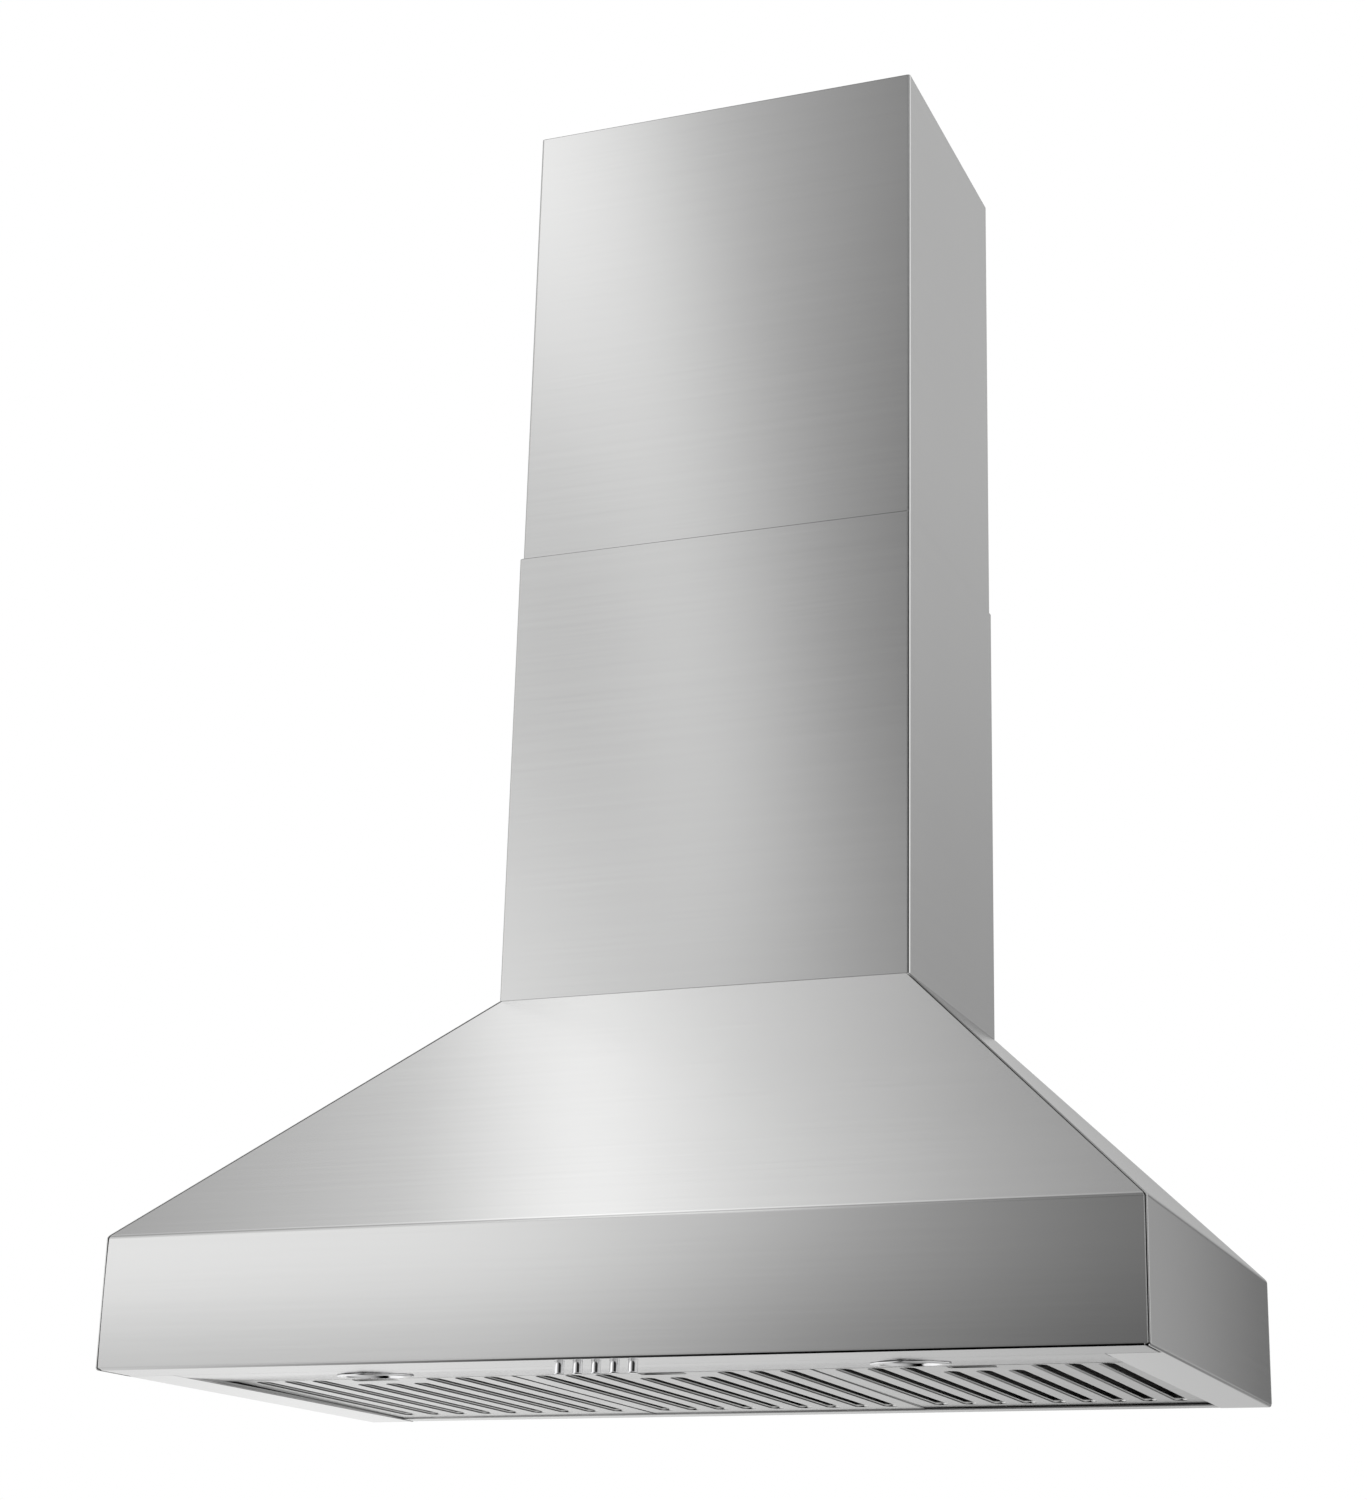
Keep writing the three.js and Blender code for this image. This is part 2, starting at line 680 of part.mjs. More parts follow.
// Inverted channels over the slots, tied by a cross bar at each end that stands on feet. They are
// cut from one slab, whose plan is a frame with a gap between each two channels.
function filterBaffles() {
  const low = filterSheet + baffleRise;
  const high = low + baffleHeight;
  const half = slotWidth / 2 + baffleOverlap;
  const front = -filterLength + 2 * filterSheet;
  const rear = -2 * filterSheet - seamGap;
  const frontBar = -filterLength + slotLatchMargin - baffleOverlap - baffleBarDepth;
  const barHalf = filterWidth / 2 - filterSheet - seamGap;
  const places = row(slotCount, slotPitch);
  const outerEnd = places[slotCount - 1] + half;
  const outline = [[-outerEnd, frontBar], [-barHalf, frontBar], [-barHalf, rear], [barHalf, rear]];
  outline.push([barHalf, frontBar], [outerEnd, frontBar]);
  for (let i = slotCount - 1; i >= 0; i -= 1) {
    const [left, right] = [places[i] - half, places[i] + half];
    if (!besideLatch(i)) continue;
    if (i < slotCount - 1) outline.push([right, frontBar]);
    outline.push([right, front], [left, front]);
    if (i > 0) outline.push([left, frontBar]);
  }
  let solid = prism('z', outline, low, high);
  for (const x of places.slice(1)) {
    const [left, right] = [x - slotPitch + half, x - half];
    const reach = [left, right, frontBar + baffleBarDepth, rear - baffleBarDepth];
    solid = solid.subtract(box(...reach, low - beyond, high + beyond));
  }
  places.forEach((x, i) => {
    const hollow = half - baffleSheet;
    const start = (besideLatch(i) ? front : frontBar) + baffleBarDepth;
    const reach = [x - hollow, x + hollow, start, rear - baffleBarDepth];
    solid = solid.subtract(box(...reach, low - beyond, high - baffleSheet));
  });
  const footPlaces = [-1, 1].map((side) => side * slotPitch * (slotCount / 2 - slotsBesideLatch));
  for (const x of footPlaces) {
    const across = [x - baffleFootWidth / 2, x + baffleFootWidth / 2];
    for (const start of [rear - baffleBarDepth, frontBar]) {
      const along = [start, start + baffleBarDepth];
      solid = solid.add(box(...across, ...along, filterSheet + seamGap, low + baffleSheet));
    }
  }
  return solid;
}

// A sliding cup over the recess: a fingertip in it pushes the latch back, and its bolt enters the
// light rail's lip.
function filterLatch() {
  const low = filterSheet + seamGap;
  const front = -filterLength + filterSheet + seamGap;
  const cupFront = -filterLength + latchRecessSetback;
  const cupRear = cupFront + latchRecessDepth;
  const cupHalf = latchRecessWidth / 2;
  const half = cupHalf + latchWall;
  const boltHalf = latchBoltWidth / 2;
  const boltTip = -filterLength - filterFrontGap - panelThickness - latchBoltReach;
  const body = box(-half, half, front, cupRear + latchWall, low, low + latchHeight);
  const cup = box(-cupHalf, cupHalf, cupFront, cupRear, -beyond, low + latchHeight - latchWall);
  const bolt = box(-boltHalf, boltHalf, boltTip, front + latchWall / 2, low, low + latchBoltThickness);
  return body.subtract(cup).add(bolt);
}

function makeFilters() {
  const names = ['left', 'middle', 'right'];
  row(filterCount, filterPitch).forEach((x, i) => {
    const seat = filterSeat(x);
    hood.add(seat);
    const side = filterCount === names.length ? names[i] : `${i + 1}`;
    addPiece(`filter_pan_${side}`, filterPan(), materials.filterSteel, seat);
    addPiece(`filter_baffles_${side}`, filterBaffles(), materials.filterSteel, seat);
    addPiece(`filter_latch_${side}`, filterLatch(), materials.chrome, seat);
  });
}

// ---------- blower ----------

const cutoffRadius = wheelRadius + scrollClearance;
const scrollRadius = cutoffRadius + scrollGrowth;
const cutoffReach = cutoffRadius * Math.cos(THREE.MathUtils.degToRad(cutoffAngle));
const blowerX = -(scrollRadius + cutoffReach) / 2;
const blowerCentre = [blowerX, chimneyMiddle, blowerAxisHeight];
const scrollTop = topPlateUnderside - seamGap;
const plateFace = wheelWidth / 2 + scrollSideGap;

// Inner face of the scroll in (x, z): down the outlet's left wall, round the growing spiral, and
// up the outlet's right wall.
function scrollPath() {
  const steps = 26;
  const spiral = Array.from({ length: steps + 1 }, (_, i) => {
    const angle = THREE.MathUtils.degToRad(cutoffAngle + ((360 - cutoffAngle) * i) / steps);
    const radius = cutoffRadius + (scrollGrowth * i) / steps;
    return [blowerX + radius * Math.cos(angle), blowerAxisHeight + radius * Math.sin(angle)];
  });
  return [[spiral[0][0], scrollTop], ...spiral, [blowerX + scrollRadius, scrollTop]];
}

function makeScroll() {
  const half = plateFace - seamGap;
  const outline = sheet(scrollPath(), -scrollSheet);
  const wrapper = prism('y', outline, chimneyMiddle - half, chimneyMiddle + half);
  addPiece('blower_scroll', wrapper, materials.galvanised);
}

// A side plate of the scroll with a bellmouth that curls in towards the wheel.
function makeInletPlate(name, side) {
  const outer = side * (plateFace + scrollSheet);
  const [low, high] = [side * plateFace, outer].sort((a, b) => a - b);
  const mouthRadius = inletRadius + bellmouthRadius;
  const hole = circle(blowerX, blowerAxisHeight, mouthRadius - scrollSheet / 2, mediumRound);
  const outline = offsetPath(scrollPath(), -scrollFlange);
  const plate = prism('y', outline, chimneyMiddle + low, chimneyMiddle + high, [hole]);
  const face = arc(mouthRadius, bellmouthRadius, bellmouthRadius, 270, 180, 2);
  const back = arc(mouthRadius, bellmouthRadius, bellmouthRadius - scrollSheet, 180, 270, 2);
  const profile = [...face, ...back].map(([radius, depth]) => [radius, outer - side * depth]);
  addPiece(name, plate.add(turned('y', profile, mediumRound, blowerCentre)), materials.galvanised);
}

const motorFront = -(plateFace + scrollSheet);
const motorRear = -motorDiscGap;
const boreRadius = shaftRadius + runningGap;
const boreEnd = motorRear - shaftGrip;

function makeMotor() {
  const profile = [
    [0, motorFront],
    [motorRadius - motorEdge, motorFront],
    [motorRadius, motorFront + motorEdge],
    [motorRadius, motorRear - motorEdge],
    [motorRadius - motorEdge, motorRear],
    [boreRadius, motorRear],
    [boreRadius, boreEnd],
    [0, boreEnd],
  ];
  addPiece('blower_motor', turned('y', profile, mediumRound, blowerCentre), materials.motorPaint);
}

// A flat bar in (x, z) from a centre outwards at an angle in degrees.
function armOutline(cx, cz, angle, width, reach) {
  const along = [Math.cos(THREE.MathUtils.degToRad(angle)), Math.sin(THREE.MathUtils.degToRad(angle))];
  const across = [-along[1] * (width / 2), along[0] * (width / 2)];
  const end = [cx + along[0] * reach, cz + along[1] * reach];
  return [
    [cx - across[0], cz - across[1]],
    [end[0] - across[0], end[1] - across[1]],
    [end[0] + across[0], end[1] + across[1]],
    [cx + across[0], cz + across[1]],
  ];
}

// A ring on the front inlet plate with three arms to the motor's front face.
function makeMotorBracket() {
  const rear = chimneyMiddle + motorFront - seamGap;
  const front = rear - motorBracketThickness;
  const ringInner = inletRadius + bellmouthRadius / 2;
  const ringOuter = ringInner + motorRingWidth;
  const hole = circle(blowerX, blowerAxisHeight, ringInner, mediumRound);
  let solid = prism('y', circle(blowerX, blowerAxisHeight, ringOuter, mediumRound), front, rear, [hole]);
  for (const angle of [90, 210, 330]) {
    const arm = armOutline(blowerX, blowerAxisHeight, angle, motorArmWidth, ringInner + 1);
    solid = solid.add(prism('y', arm, front, rear));
  }
  const boss = prism('y', circle(blowerX, blowerAxisHeight, motorBossRadius, mediumRound), front, rear);
  addPiece('motor_bracket', solid.add(boss), materials.galvanised);
}

// A forward-leaning blade in (x, z) about the wheel's axis, as a bent strip of constant thickness.
function bladeOutline(angle) {
  const root = wheelRadius - bladeDepth;
  const steps = 2;
  const path = Array.from({ length: steps + 1 }, (_, i) => {
    const share = i / steps;
    const radius = root + (bladeDepth - wheelRingHeight / 4) * share;
    const turn = angle + bladeLean * share * share;
    return [blowerX + radius * Math.cos(turn), blowerAxisHeight + radius * Math.sin(turn)];
  });
  return sheet(path, bladeThickness);
}

// The squirrel cage: a hub and middle disc, curved blades on both sides of it, and two end rings.
function makeImpeller() {
  const half = wheelWidth / 2;
  const disc = wheelDiscThickness / 2;
  const hub = wheelHubLength / 2;
  const middle = [
    [boreRadius, -hub],
    [wheelHubRadius, -hub],
    [wheelHubRadius, -disc],
    [wheelRadius - wheelRingHeight / 2, -disc],
    [wheelRadius - wheelRingHeight / 2, disc],
    [wheelHubRadius, disc],
    [wheelHubRadius, hub],
    [boreRadius, hub],
  ];
  let solid = turned('y', middle, mediumRound, blowerCentre);
  for (const low of [-half, half - wheelRingWidth]) {
    const ring = [
      [wheelRadius - wheelRingHeight, low],
      [wheelRadius, low],
      [wheelRadius, low + wheelRingWidth],
      [wheelRadius - wheelRingHeight, low + wheelRingWidth],
    ];
    solid = solid.add(turned('y', ring, mediumRound, blowerCentre));
  }
  for (let i = 0; i < bladeCount; i += 1) {
    const blade = bladeOutline((2 * Math.PI * i) / bladeCount);
    solid = solid.add(prism('y', blade, chimneyMiddle - half, chimneyMiddle + half));
  }
  addPiece('impeller', solid, materials.aluminium);
}

function makeMotorShaft() {
  const far = wheelHubLength / 2 + shaftRadius;
  const shaft = bar('y', shaftRadius, boreEnd + seamGap, far, smallRound, blowerCentre);
  addPiece('motor_shaft', shaft, materials.galvanised);
}

// ---------- outlet collar and backdraft dampers ----------

const collarBore = collarRadius - collarWall;
const flapBottom = canopyHeight + damperHeight;
const pinHeight = flapBottom + damperThickness / 2;
const pinHoleRadius = damperPinRadius + runningGap;
const knuckleRadius = pinHoleRadius + damperKnuckleWall;
const flapStart = knuckleRadius + seamGap;

// The round spigot that the duct slides over, with a ledge inside that the flaps close on.
function makeOutletCollar() {
  const top = canopyHeight + collarHeight;
  const ledgeTop = flapBottom - seamGap;
  const profile = [
    [collarBore, canopyHeight],
    [collarRadius + collarFlangeWidth, canopyHeight],
    [collarRadius + collarFlangeWidth, canopyHeight + collarFlangeThickness],
    [collarRadius, canopyHeight + collarFlangeThickness],
    [collarRadius, top],
    [collarBore, top],
    [collarBore, ledgeTop],
    [collarBore - damperLedgeWidth, ledgeTop],
    [collarBore - damperLedgeWidth, ledgeTop - damperLedgeHeight],
    [collarBore, ledgeTop - damperLedgeHeight],
  ];
  const collar = turned('z', profile, largeRound, [0, chimneyMiddle, 0]);
  const pinHoles = bar('y', pinHoleRadius, -hoodDepth, hoodDepth, smallRound, [0, 0, pinHeight]);
  addPiece('outlet_collar', collar.subtract(pinHoles), materials.blackPlastic);
}

function makeDamperPin() {
  const reach = collarRadius - seamGap;
  const pin = bar('y', damperPinRadius, -reach, reach, smallRound, [0, chimneyMiddle, pinHeight]);
  addPiece('damper_pin', pin, materials.galvanised);
}

// Half a disc on two knuckles round the pin. The two flaps' knuckles stand side by side.
function makeDamperFlap(name, side, knuckleStart) {
  const flapRadius = collarBore - 2 * seamGap;
  const flapTop = flapBottom + damperThickness;
  const disc = bar('z', flapRadius, flapBottom, flapTop, largeRound, [0, chimneyMiddle, 0]);
  const [near, far] = [side * flapStart, side * collarRadius].sort((a, b) => a - b);
  let solid = disc.intersect(box(near, far, -hoodDepth, 0, 0, flapTop + beyond));
  for (const direction of [-1, 1]) {
    const ends = [knuckleStart, knuckleStart + damperKnuckleLength].map((v) => direction * v);
    const [low, high] = ends.sort((a, b) => a - b);
    const [webNear, webFar] = [0, side * (flapStart + 2)].sort((a, b) => a - b);
    const web = box(webNear, webFar, chimneyMiddle + low, chimneyMiddle + high, flapBottom, flapTop);
    const knuckle = bar('y', knuckleRadius, low, high, smallRound, [0, chimneyMiddle, pinHeight]);
    solid = solid.add(web).add(knuckle);
  }
  const pinAxis = [0, chimneyMiddle, pinHeight];
  const bore = bar('y', pinHoleRadius, -collarRadius, collarRadius, smallRound, pinAxis);
  addPiece(name, solid.subtract(bore), materials.greyPlastic);
}

// ---------- electrical pieces ----------

// A box with bevelled long edges and two fixing ears, its back flat on the canopy's back sheet.
function makeWallBox(name, [width, depth, height], [x, low], material) {
  const front = backSheetFront - depth;
  const half = width / 2;
  const section = [
    [x - half, backSheetFront],
    [x - half, front + boxChamfer],
    [x - half + boxChamfer, front],
    [x + half - boxChamfer, front],
    [x + half, front + boxChamfer],
    [x + half, backSheetFront],
  ];
  const earHalf = half + boxEarWidth;
  const earFront = backSheetFront - boxEarThickness;
  const earHeights = [low + height / 3, low + (2 * height) / 3];
  const ears = box(x - earHalf, x + earHalf, earFront, backSheetFront, ...earHeights);
  addPiece(name, prism('z', section, low, low + height).add(ears), material);
}

// A round can standing against the back sheet on a moulded foot.
function makeCapacitor() {
  const [x, low] = capacitorPlace;
  const axis = [x, backSheetFront - capacitorRadius - boxEarThickness, 0];
  const can = bar('z', capacitorRadius, low, low + capacitorLength, smallRound, axis);
  const reach = [x - capacitorFootWidth / 2, x + capacitorFootWidth / 2, axis[1], backSheetFront];
  const foot = box(...reach, low + capacitorLength / 4, low + capacitorLength / 2);
  addPiece('run_capacitor', can.add(foot), materials.blackPlastic);
}

// The mains lead's gland: a bored stem through the top plate with a nut above and a head below.
function makeCableGland() {
  const headTop = topPlateUnderside - seamGap;
  const nutLow = canopyHeight + seamGap;
  const stemTop = nutLow + glandNutHeight + glandStemHeight;
  const profile = [
    [glandBore, headTop - glandNutHeight],
    [glandNutRadius, headTop - glandNutHeight],
    [glandNutRadius, headTop],
    [glandRadius, headTop],
    [glandRadius, nutLow],
    [glandNutRadius, nutLow],
    [glandNutRadius, nutLow + glandNutHeight],
    [glandRadius, nutLow + glandNutHeight],
    [glandRadius, stemTop - glandBore / 2],
    [glandBore * 1.2, stemTop],
    [glandBore, stemTop],
  ];
  const centre = [glandPlace[0], -glandPlace[1], 0];
  addPiece('cable_gland', turned('z', profile, smallRound, centre), materials.blackPlastic);
}

// ---------- the whole hood ----------

makeCanopyFront();
makeCanopySides();
makeCanopyBack();
makeCanopyTop();
makeChimneyCovers();
makeCeilingBracket();
makeLightRail();
makeLamp('left', -lampSpacing / 2);
makeLamp('right', lampSpacing / 2);
makeButtons();
makeSwitchBlock();
makeFilters();
makeScroll();
makeInletPlate('blower_plate_front', -1);
makeInletPlate('blower_plate_rear', 1);
makeMotor();
makeMotorBracket();
makeImpeller();
makeMotorShaft();
makeOutletCollar();
makeDamperPin();
makeDamperFlap('damper_flap_right', 1, damperKnuckleStart);
makeDamperFlap('damper_flap_left', -1, damperKnuckleStart + damperKnuckleLength + 1);
makeWallBox('control_box', controlBoxSize, controlBoxPlace, materials.greyPlastic);
makeWallBox('lamp_transformer', transformerSize, transformerPlace, materials.blackPlastic);
makeCapacitor();
makeCableGland();

export default hood;
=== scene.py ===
# %% [markdown]
# # A chimney range hood in brushed steel
#
# The hood hangs on a wall above a cooktop. A folded canopy catches the steam, three slotted filters
# take the grease out, a blower inside lifts the air, and a two-part chimney cover hides the duct.
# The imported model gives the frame: where every piece sits, and which body it moves with. This lesson
# dresses that frame: it folds thin steel sheets with real bends, presses the filters' slots, turns the
# lamp rings and buttons, and gives each finish its own procedural material.
#
# Everything is in metres. The wall is the plane y = 0, the front faces -Y, and the canopy's bottom rim
# lies at z = RIM.

# %% Load the frame
import json
import math

import bmesh
import bpy
import numpy as np
from mathutils import Matrix, Vector, geometry


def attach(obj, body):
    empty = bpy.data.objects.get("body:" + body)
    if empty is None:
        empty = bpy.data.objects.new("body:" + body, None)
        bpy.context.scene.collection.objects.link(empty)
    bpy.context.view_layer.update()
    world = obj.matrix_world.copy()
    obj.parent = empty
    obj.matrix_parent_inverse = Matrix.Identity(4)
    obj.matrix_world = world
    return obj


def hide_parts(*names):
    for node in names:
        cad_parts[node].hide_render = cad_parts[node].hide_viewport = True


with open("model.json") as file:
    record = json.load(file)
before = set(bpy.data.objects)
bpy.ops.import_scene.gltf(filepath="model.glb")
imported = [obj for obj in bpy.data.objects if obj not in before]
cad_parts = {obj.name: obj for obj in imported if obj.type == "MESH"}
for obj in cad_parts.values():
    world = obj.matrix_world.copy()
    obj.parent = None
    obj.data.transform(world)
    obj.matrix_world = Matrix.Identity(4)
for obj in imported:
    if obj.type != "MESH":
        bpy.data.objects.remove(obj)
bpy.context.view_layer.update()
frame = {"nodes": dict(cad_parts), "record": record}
scene = bpy.context.scene
scene.view_settings.view_transform = "Standard"
MM = 0.001
RIM = -240 * MM

# %% [markdown]
# ## The camera
#
# The picture looks slightly up at the hood from its right-hand side, from about two and a half metres.
# A camera could be aimed with a Track To constraint, but three turns fitted to the straight edges of the
# hood are exact: yaw round the vertical, pitch above the horizon, and a small roll. The lens follows from
# the focal length in pixels of a picture 1500 high, and the shift from where the optical axis meets it.

# %% Place the camera
IMAGE_SIZE = (1367, 1500)
FOCAL_PIXELS = 2792.5
AXIS_PIXEL = (776.9, 782.6)
EYE = (0.90842, -2.58914, -0.48143)
YAW, PITCH, ROLL = 0.348124, 0.310498, 0.015741

camera = bpy.data.objects.new("camera", bpy.data.cameras.new("camera"))
camera.data.lens = FOCAL_PIXELS / max(IMAGE_SIZE) * camera.data.sensor_width
camera.data.shift_x = (IMAGE_SIZE[0] / 2 - AXIS_PIXEL[0]) / max(IMAGE_SIZE)
camera.data.shift_y = (AXIS_PIXEL[1] - IMAGE_SIZE[1] / 2) / max(IMAGE_SIZE)
# A camera without turns looks straight down, so the pitch starts a quarter turn up from there.
camera.matrix_world = Matrix.Translation(EYE)
for angle, axis in ((YAW, "Z"), (math.pi / 2 + PITCH, "X"), (ROLL, "Z")):
    camera.matrix_world = camera.matrix_world @ Matrix.Rotation(angle, 4, axis)
scene.collection.objects.link(camera)
scene.camera = camera
print(f"lens {camera.data.lens:.2f} mm, shift {camera.data.shift_x:.4f} {camera.data.shift_y:.4f}")

# %% [markdown]
# ## Helpers for materials
#
# A material is a small tree of nodes. Four helpers keep the trees readable: one gives a socket its
# source, one adds a node with its settings and sources, and two hand over an empty tree.

# %% Node helpers
MATERIALS = {}


def feed(tree, socket, source):
    """Gives an input socket its source: another node's output socket, or a plain value."""
    if isinstance(source, bpy.types.NodeSocket):
        tree.links.new(source, socket)
    else:
        socket.default_value = source


def add(tree, kind, settings=None, *sources, **named):
    """A node of a kind, its settings set as attributes. Sources feed its inputs in their order, and named
    ones by the input's name, with _ for a space."""
    node = tree.nodes.new("ShaderNode" + kind)
    for key, value in (settings or {}).items():
        setattr(node, key, value)
    for socket, source in zip(node.inputs, sources):
        feed(tree, socket, source)
    for key, source in named.items():
        feed(tree, node.inputs[key.replace("_", " ")], source)
    return node


def emptied_tree(owner):
    """The node tree of a material or a world, without the nodes it came with."""
    owner.use_nodes = True
    owner.node_tree.nodes.clear()
    return owner.node_tree


def new_material(name):
    """The empty tree of a new material, which MATERIALS keeps by its name."""
    MATERIALS[name] = bpy.data.materials.new(name)
    return emptied_tree(MATERIALS[name])


print("node helpers ready")

# %% [markdown]
# ## The studio
#
# Brushed steel has little colour of its own: what it shows is the room, drawn out by the brushing. So
# the room is the first thing to get right. Real studios hang large white cloths beside the object and
# leave the camera's side dark, which gives steel its slow change from light to grey. Area lamps could
# stand for the cloths, but their edges would show in every other view, so the world itself is the
# studio: a long room round the hood's X axis, whose walls each fade from left to right. The front wall
# hangs in four strips, one above the other, because the buttons, the canopy and the covers mirror it at
# different heights. Scratches that run along X spread a reflection only round that axis, so each wall
# keeps its fade in the steel. The camera sees plain white.

# %% Describe the walls of the studio
# Each wall is a list of (place, level): the place is a direction's X, from -1 at the left to 1 at the
# right. The two lowest strips of the front share their left part.
FRONT_LEFT = [
    (-1.0, 1.1), (-0.54, 1.26), (-0.43, 1.13), (-0.4, 1.01), (-0.36, 0.77), (-0.32, 0.54),
    (-0.28, 0.42), (-0.2, 0.22), (-0.14, 0.4), (-0.05, 0.75),
]
STUDIO_WALLS = {
    "front_down": [*FRONT_LEFT, (0.1, 0.95), (0.5, 0.8), (1.0, 1.0)],
    "front_low": [*FRONT_LEFT, (0.05, 0.75), (0.1, 0.03), (0.94, 0.03), (0.98, 1.0), (1.0, 1.0)],
    "front_middle": [
        (-1.0, 0.9), (-0.42, 0.84), (-0.385, 0.7), (-0.35, 1.02), (-0.325, 0.78), (-0.3, 0.46),
        (-0.26, 0.26), (-0.2, 0.1), (-0.1, 0.1), (-0.02, 0.45), (0.08, 0.45), (0.14, 0.02),
        (0.82, 0.02), (0.9, 0.5), (1.0, 0.9),
    ],
    "front_high": [
        (-1.0, 0.85), (-0.44, 0.95), (-0.38, 1.6), (-0.345, 1.25), (-0.315, 0.74), (-0.28, 0.54),
        (-0.24, 0.36), (-0.1, 0.2), (0.02, 0.6), (0.5, 0.6), (0.66, 0.02), (0.89, 0.02), (0.96, 0.9),
        (1.0, 0.9),
    ],
    "ceiling": [
        (-1.0, 0.6), (-0.54, 0.58), (-0.49, 0.74), (-0.45, 0.88), (-0.42, 1.25), (-0.395, 1.42),
        (-0.345, 1.05), (-0.27, 0.66), (-0.2, 0.44), (0.3, 0.6), (1.0, 0.9),
    ],
    "back": [
        (-1.0, 1.1), (-0.54, 1.2), (-0.49, 1.34), (-0.42, 1.26), (-0.27, 0.96), (-0.2, 0.8),
        (-0.1, 0.66), (0.12, 0.5), (0.165, 0.1), (0.21, 0.74), (0.25, 0.58), (0.32, 0.66), (0.5, 1.5),
        (1.0, 1.4),
    ],
    "below": [
        (-1.0, 1.2), (-0.55, 1.0), (-0.48, 0.5), (-0.42, 0.08), (-0.36, 0.0), (-0.18, 0.0),
        (0.05, 0.02), (0.4, 0.4), (1.0, 0.8),
    ],
}
# How much of a wall shows at an angle in degrees round the X axis: 0 is the front, 90 straight up.
STUDIO_CORNERS = {
    "front_down": [(-180, 0), (-44, 0), (-32, 0.7), (-4, 0.63), (2, 0), (180, 0)],
    "front_low": [(-180, 0), (-4, 0), (2, 0.62), (4, 0.62), (9, 1.1), (13, 1.15), (20, 0), (180, 0)],
    "front_middle": [(-180, 0), (13, 0), (19, 1), (25, 1), (31, 0), (180, 0)],
    "front_high": [(-180, 0), (25, 0), (31, 1), (38, 1), (52, 0.5), (64, 0), (180, 0)],
    "ceiling": [
        (-180, 0), (50, 0), (64, 0.8), (74, 1.3), (86, 1.3), (93, 1), (120, 1), (145, 0), (180, 0),
    ],
    "back": [
        (-180, 0.74), (-170, 0.8), (-164, 0.1), (-158, 0), (120, 0), (145, 1), (155, 0.95),
        (166, 0.7), (180, 0.68),
    ],
    "below": [(-180, 0), (-171, 0), (-158, 1), (-44, 1), (-32, 0), (180, 0)],
}
BRIGHTEST = 2.0
print("studio walls", {wall: len(stops) for wall, stops in STUDIO_WALLS.items()})

# %% Light the studio
CLOTH_WHITE = (1.0, 1.0, 0.998, 1)


def math_node(tree, operation, *sources):
    """The value of a Math node that is fed with sockets or plain numbers."""
    return add(tree, "Math", {"operation": operation}, *sources).outputs["Value"]


def ramp(tree, source, stops, low, high):
    """A ramp over a value from low to high, its stops given as (place, level), the first at low and the
    last at high. A level is stored as its share of the brightest one."""
    scaled = add(tree, "MapRange", Value=source, From_Min=low, From_Max=high)
    node = add(tree, "ValToRGB", Fac=scaled.outputs["Result"])
    elements = node.color_ramp.elements
    for place, _ in stops[1:-1]:
        elements.new((place - low) / (high - low))
    for element, (_, level) in zip(elements, stops):
        element.color = (*[level / BRIGHTEST] * 3, 1)
    return node.outputs["Color"]


def make_studio():
    """The world: each wall's fade times its share at that angle, summed, and white for the camera."""
    scene.world = bpy.data.worlds.new("studio")
    tree = emptied_tree(scene.world)
    direction = add(tree, "SeparateXYZ", Vector=add(tree, "TexCoord").outputs["Generated"])
    x, y, z = (direction.outputs[axis] for axis in "XYZ")
    angle = math_node(tree, "ARCTAN2", z, math_node(tree, "MULTIPLY", y, -1.0))
    level = 0.0
    for wall, stops in STUDIO_WALLS.items():
        fade = ramp(tree, x, stops, -1.0, 1.0)
        corners = [(math.radians(a), share) for a, share in STUDIO_CORNERS[wall]]
        share = ramp(tree, angle, corners, -math.pi, math.pi)
        level = math_node(tree, "ADD", level, math_node(tree, "MULTIPLY", fade, share))
    strength = math_node(tree, "MULTIPLY", level, BRIGHTEST**2)
    studio = add(tree, "Background", Color=CLOTH_WHITE, Strength=strength)
    backdrop = add(tree, "Background", Color=(1, 1, 1, 1), Strength=1.0)
    seen = add(tree, "LightPath").outputs["Is Camera Ray"]
    mix = add(tree, "MixShader", None, seen, studio.outputs[0], backdrop.outputs[0])
    add(tree, "OutputWorld", Surface=mix.outputs[0])


make_studio()
print("world", scene.world.name, "with", len(scene.world.node_tree.nodes), "nodes")

# %% [markdown]
# ## The floor
#
# The hood hangs a good metre and a half above a pale floor. A plane is enough; seen from below it lets
# the view through, as a glass floor would, so that the filters can be looked at from underneath.

# %% Lay the floor
FLOOR_HEIGHT = -1.75
FLOOR_REACH = 8.0
FLOOR_COLOUR = (0.86, 0.86, 0.86, 1)


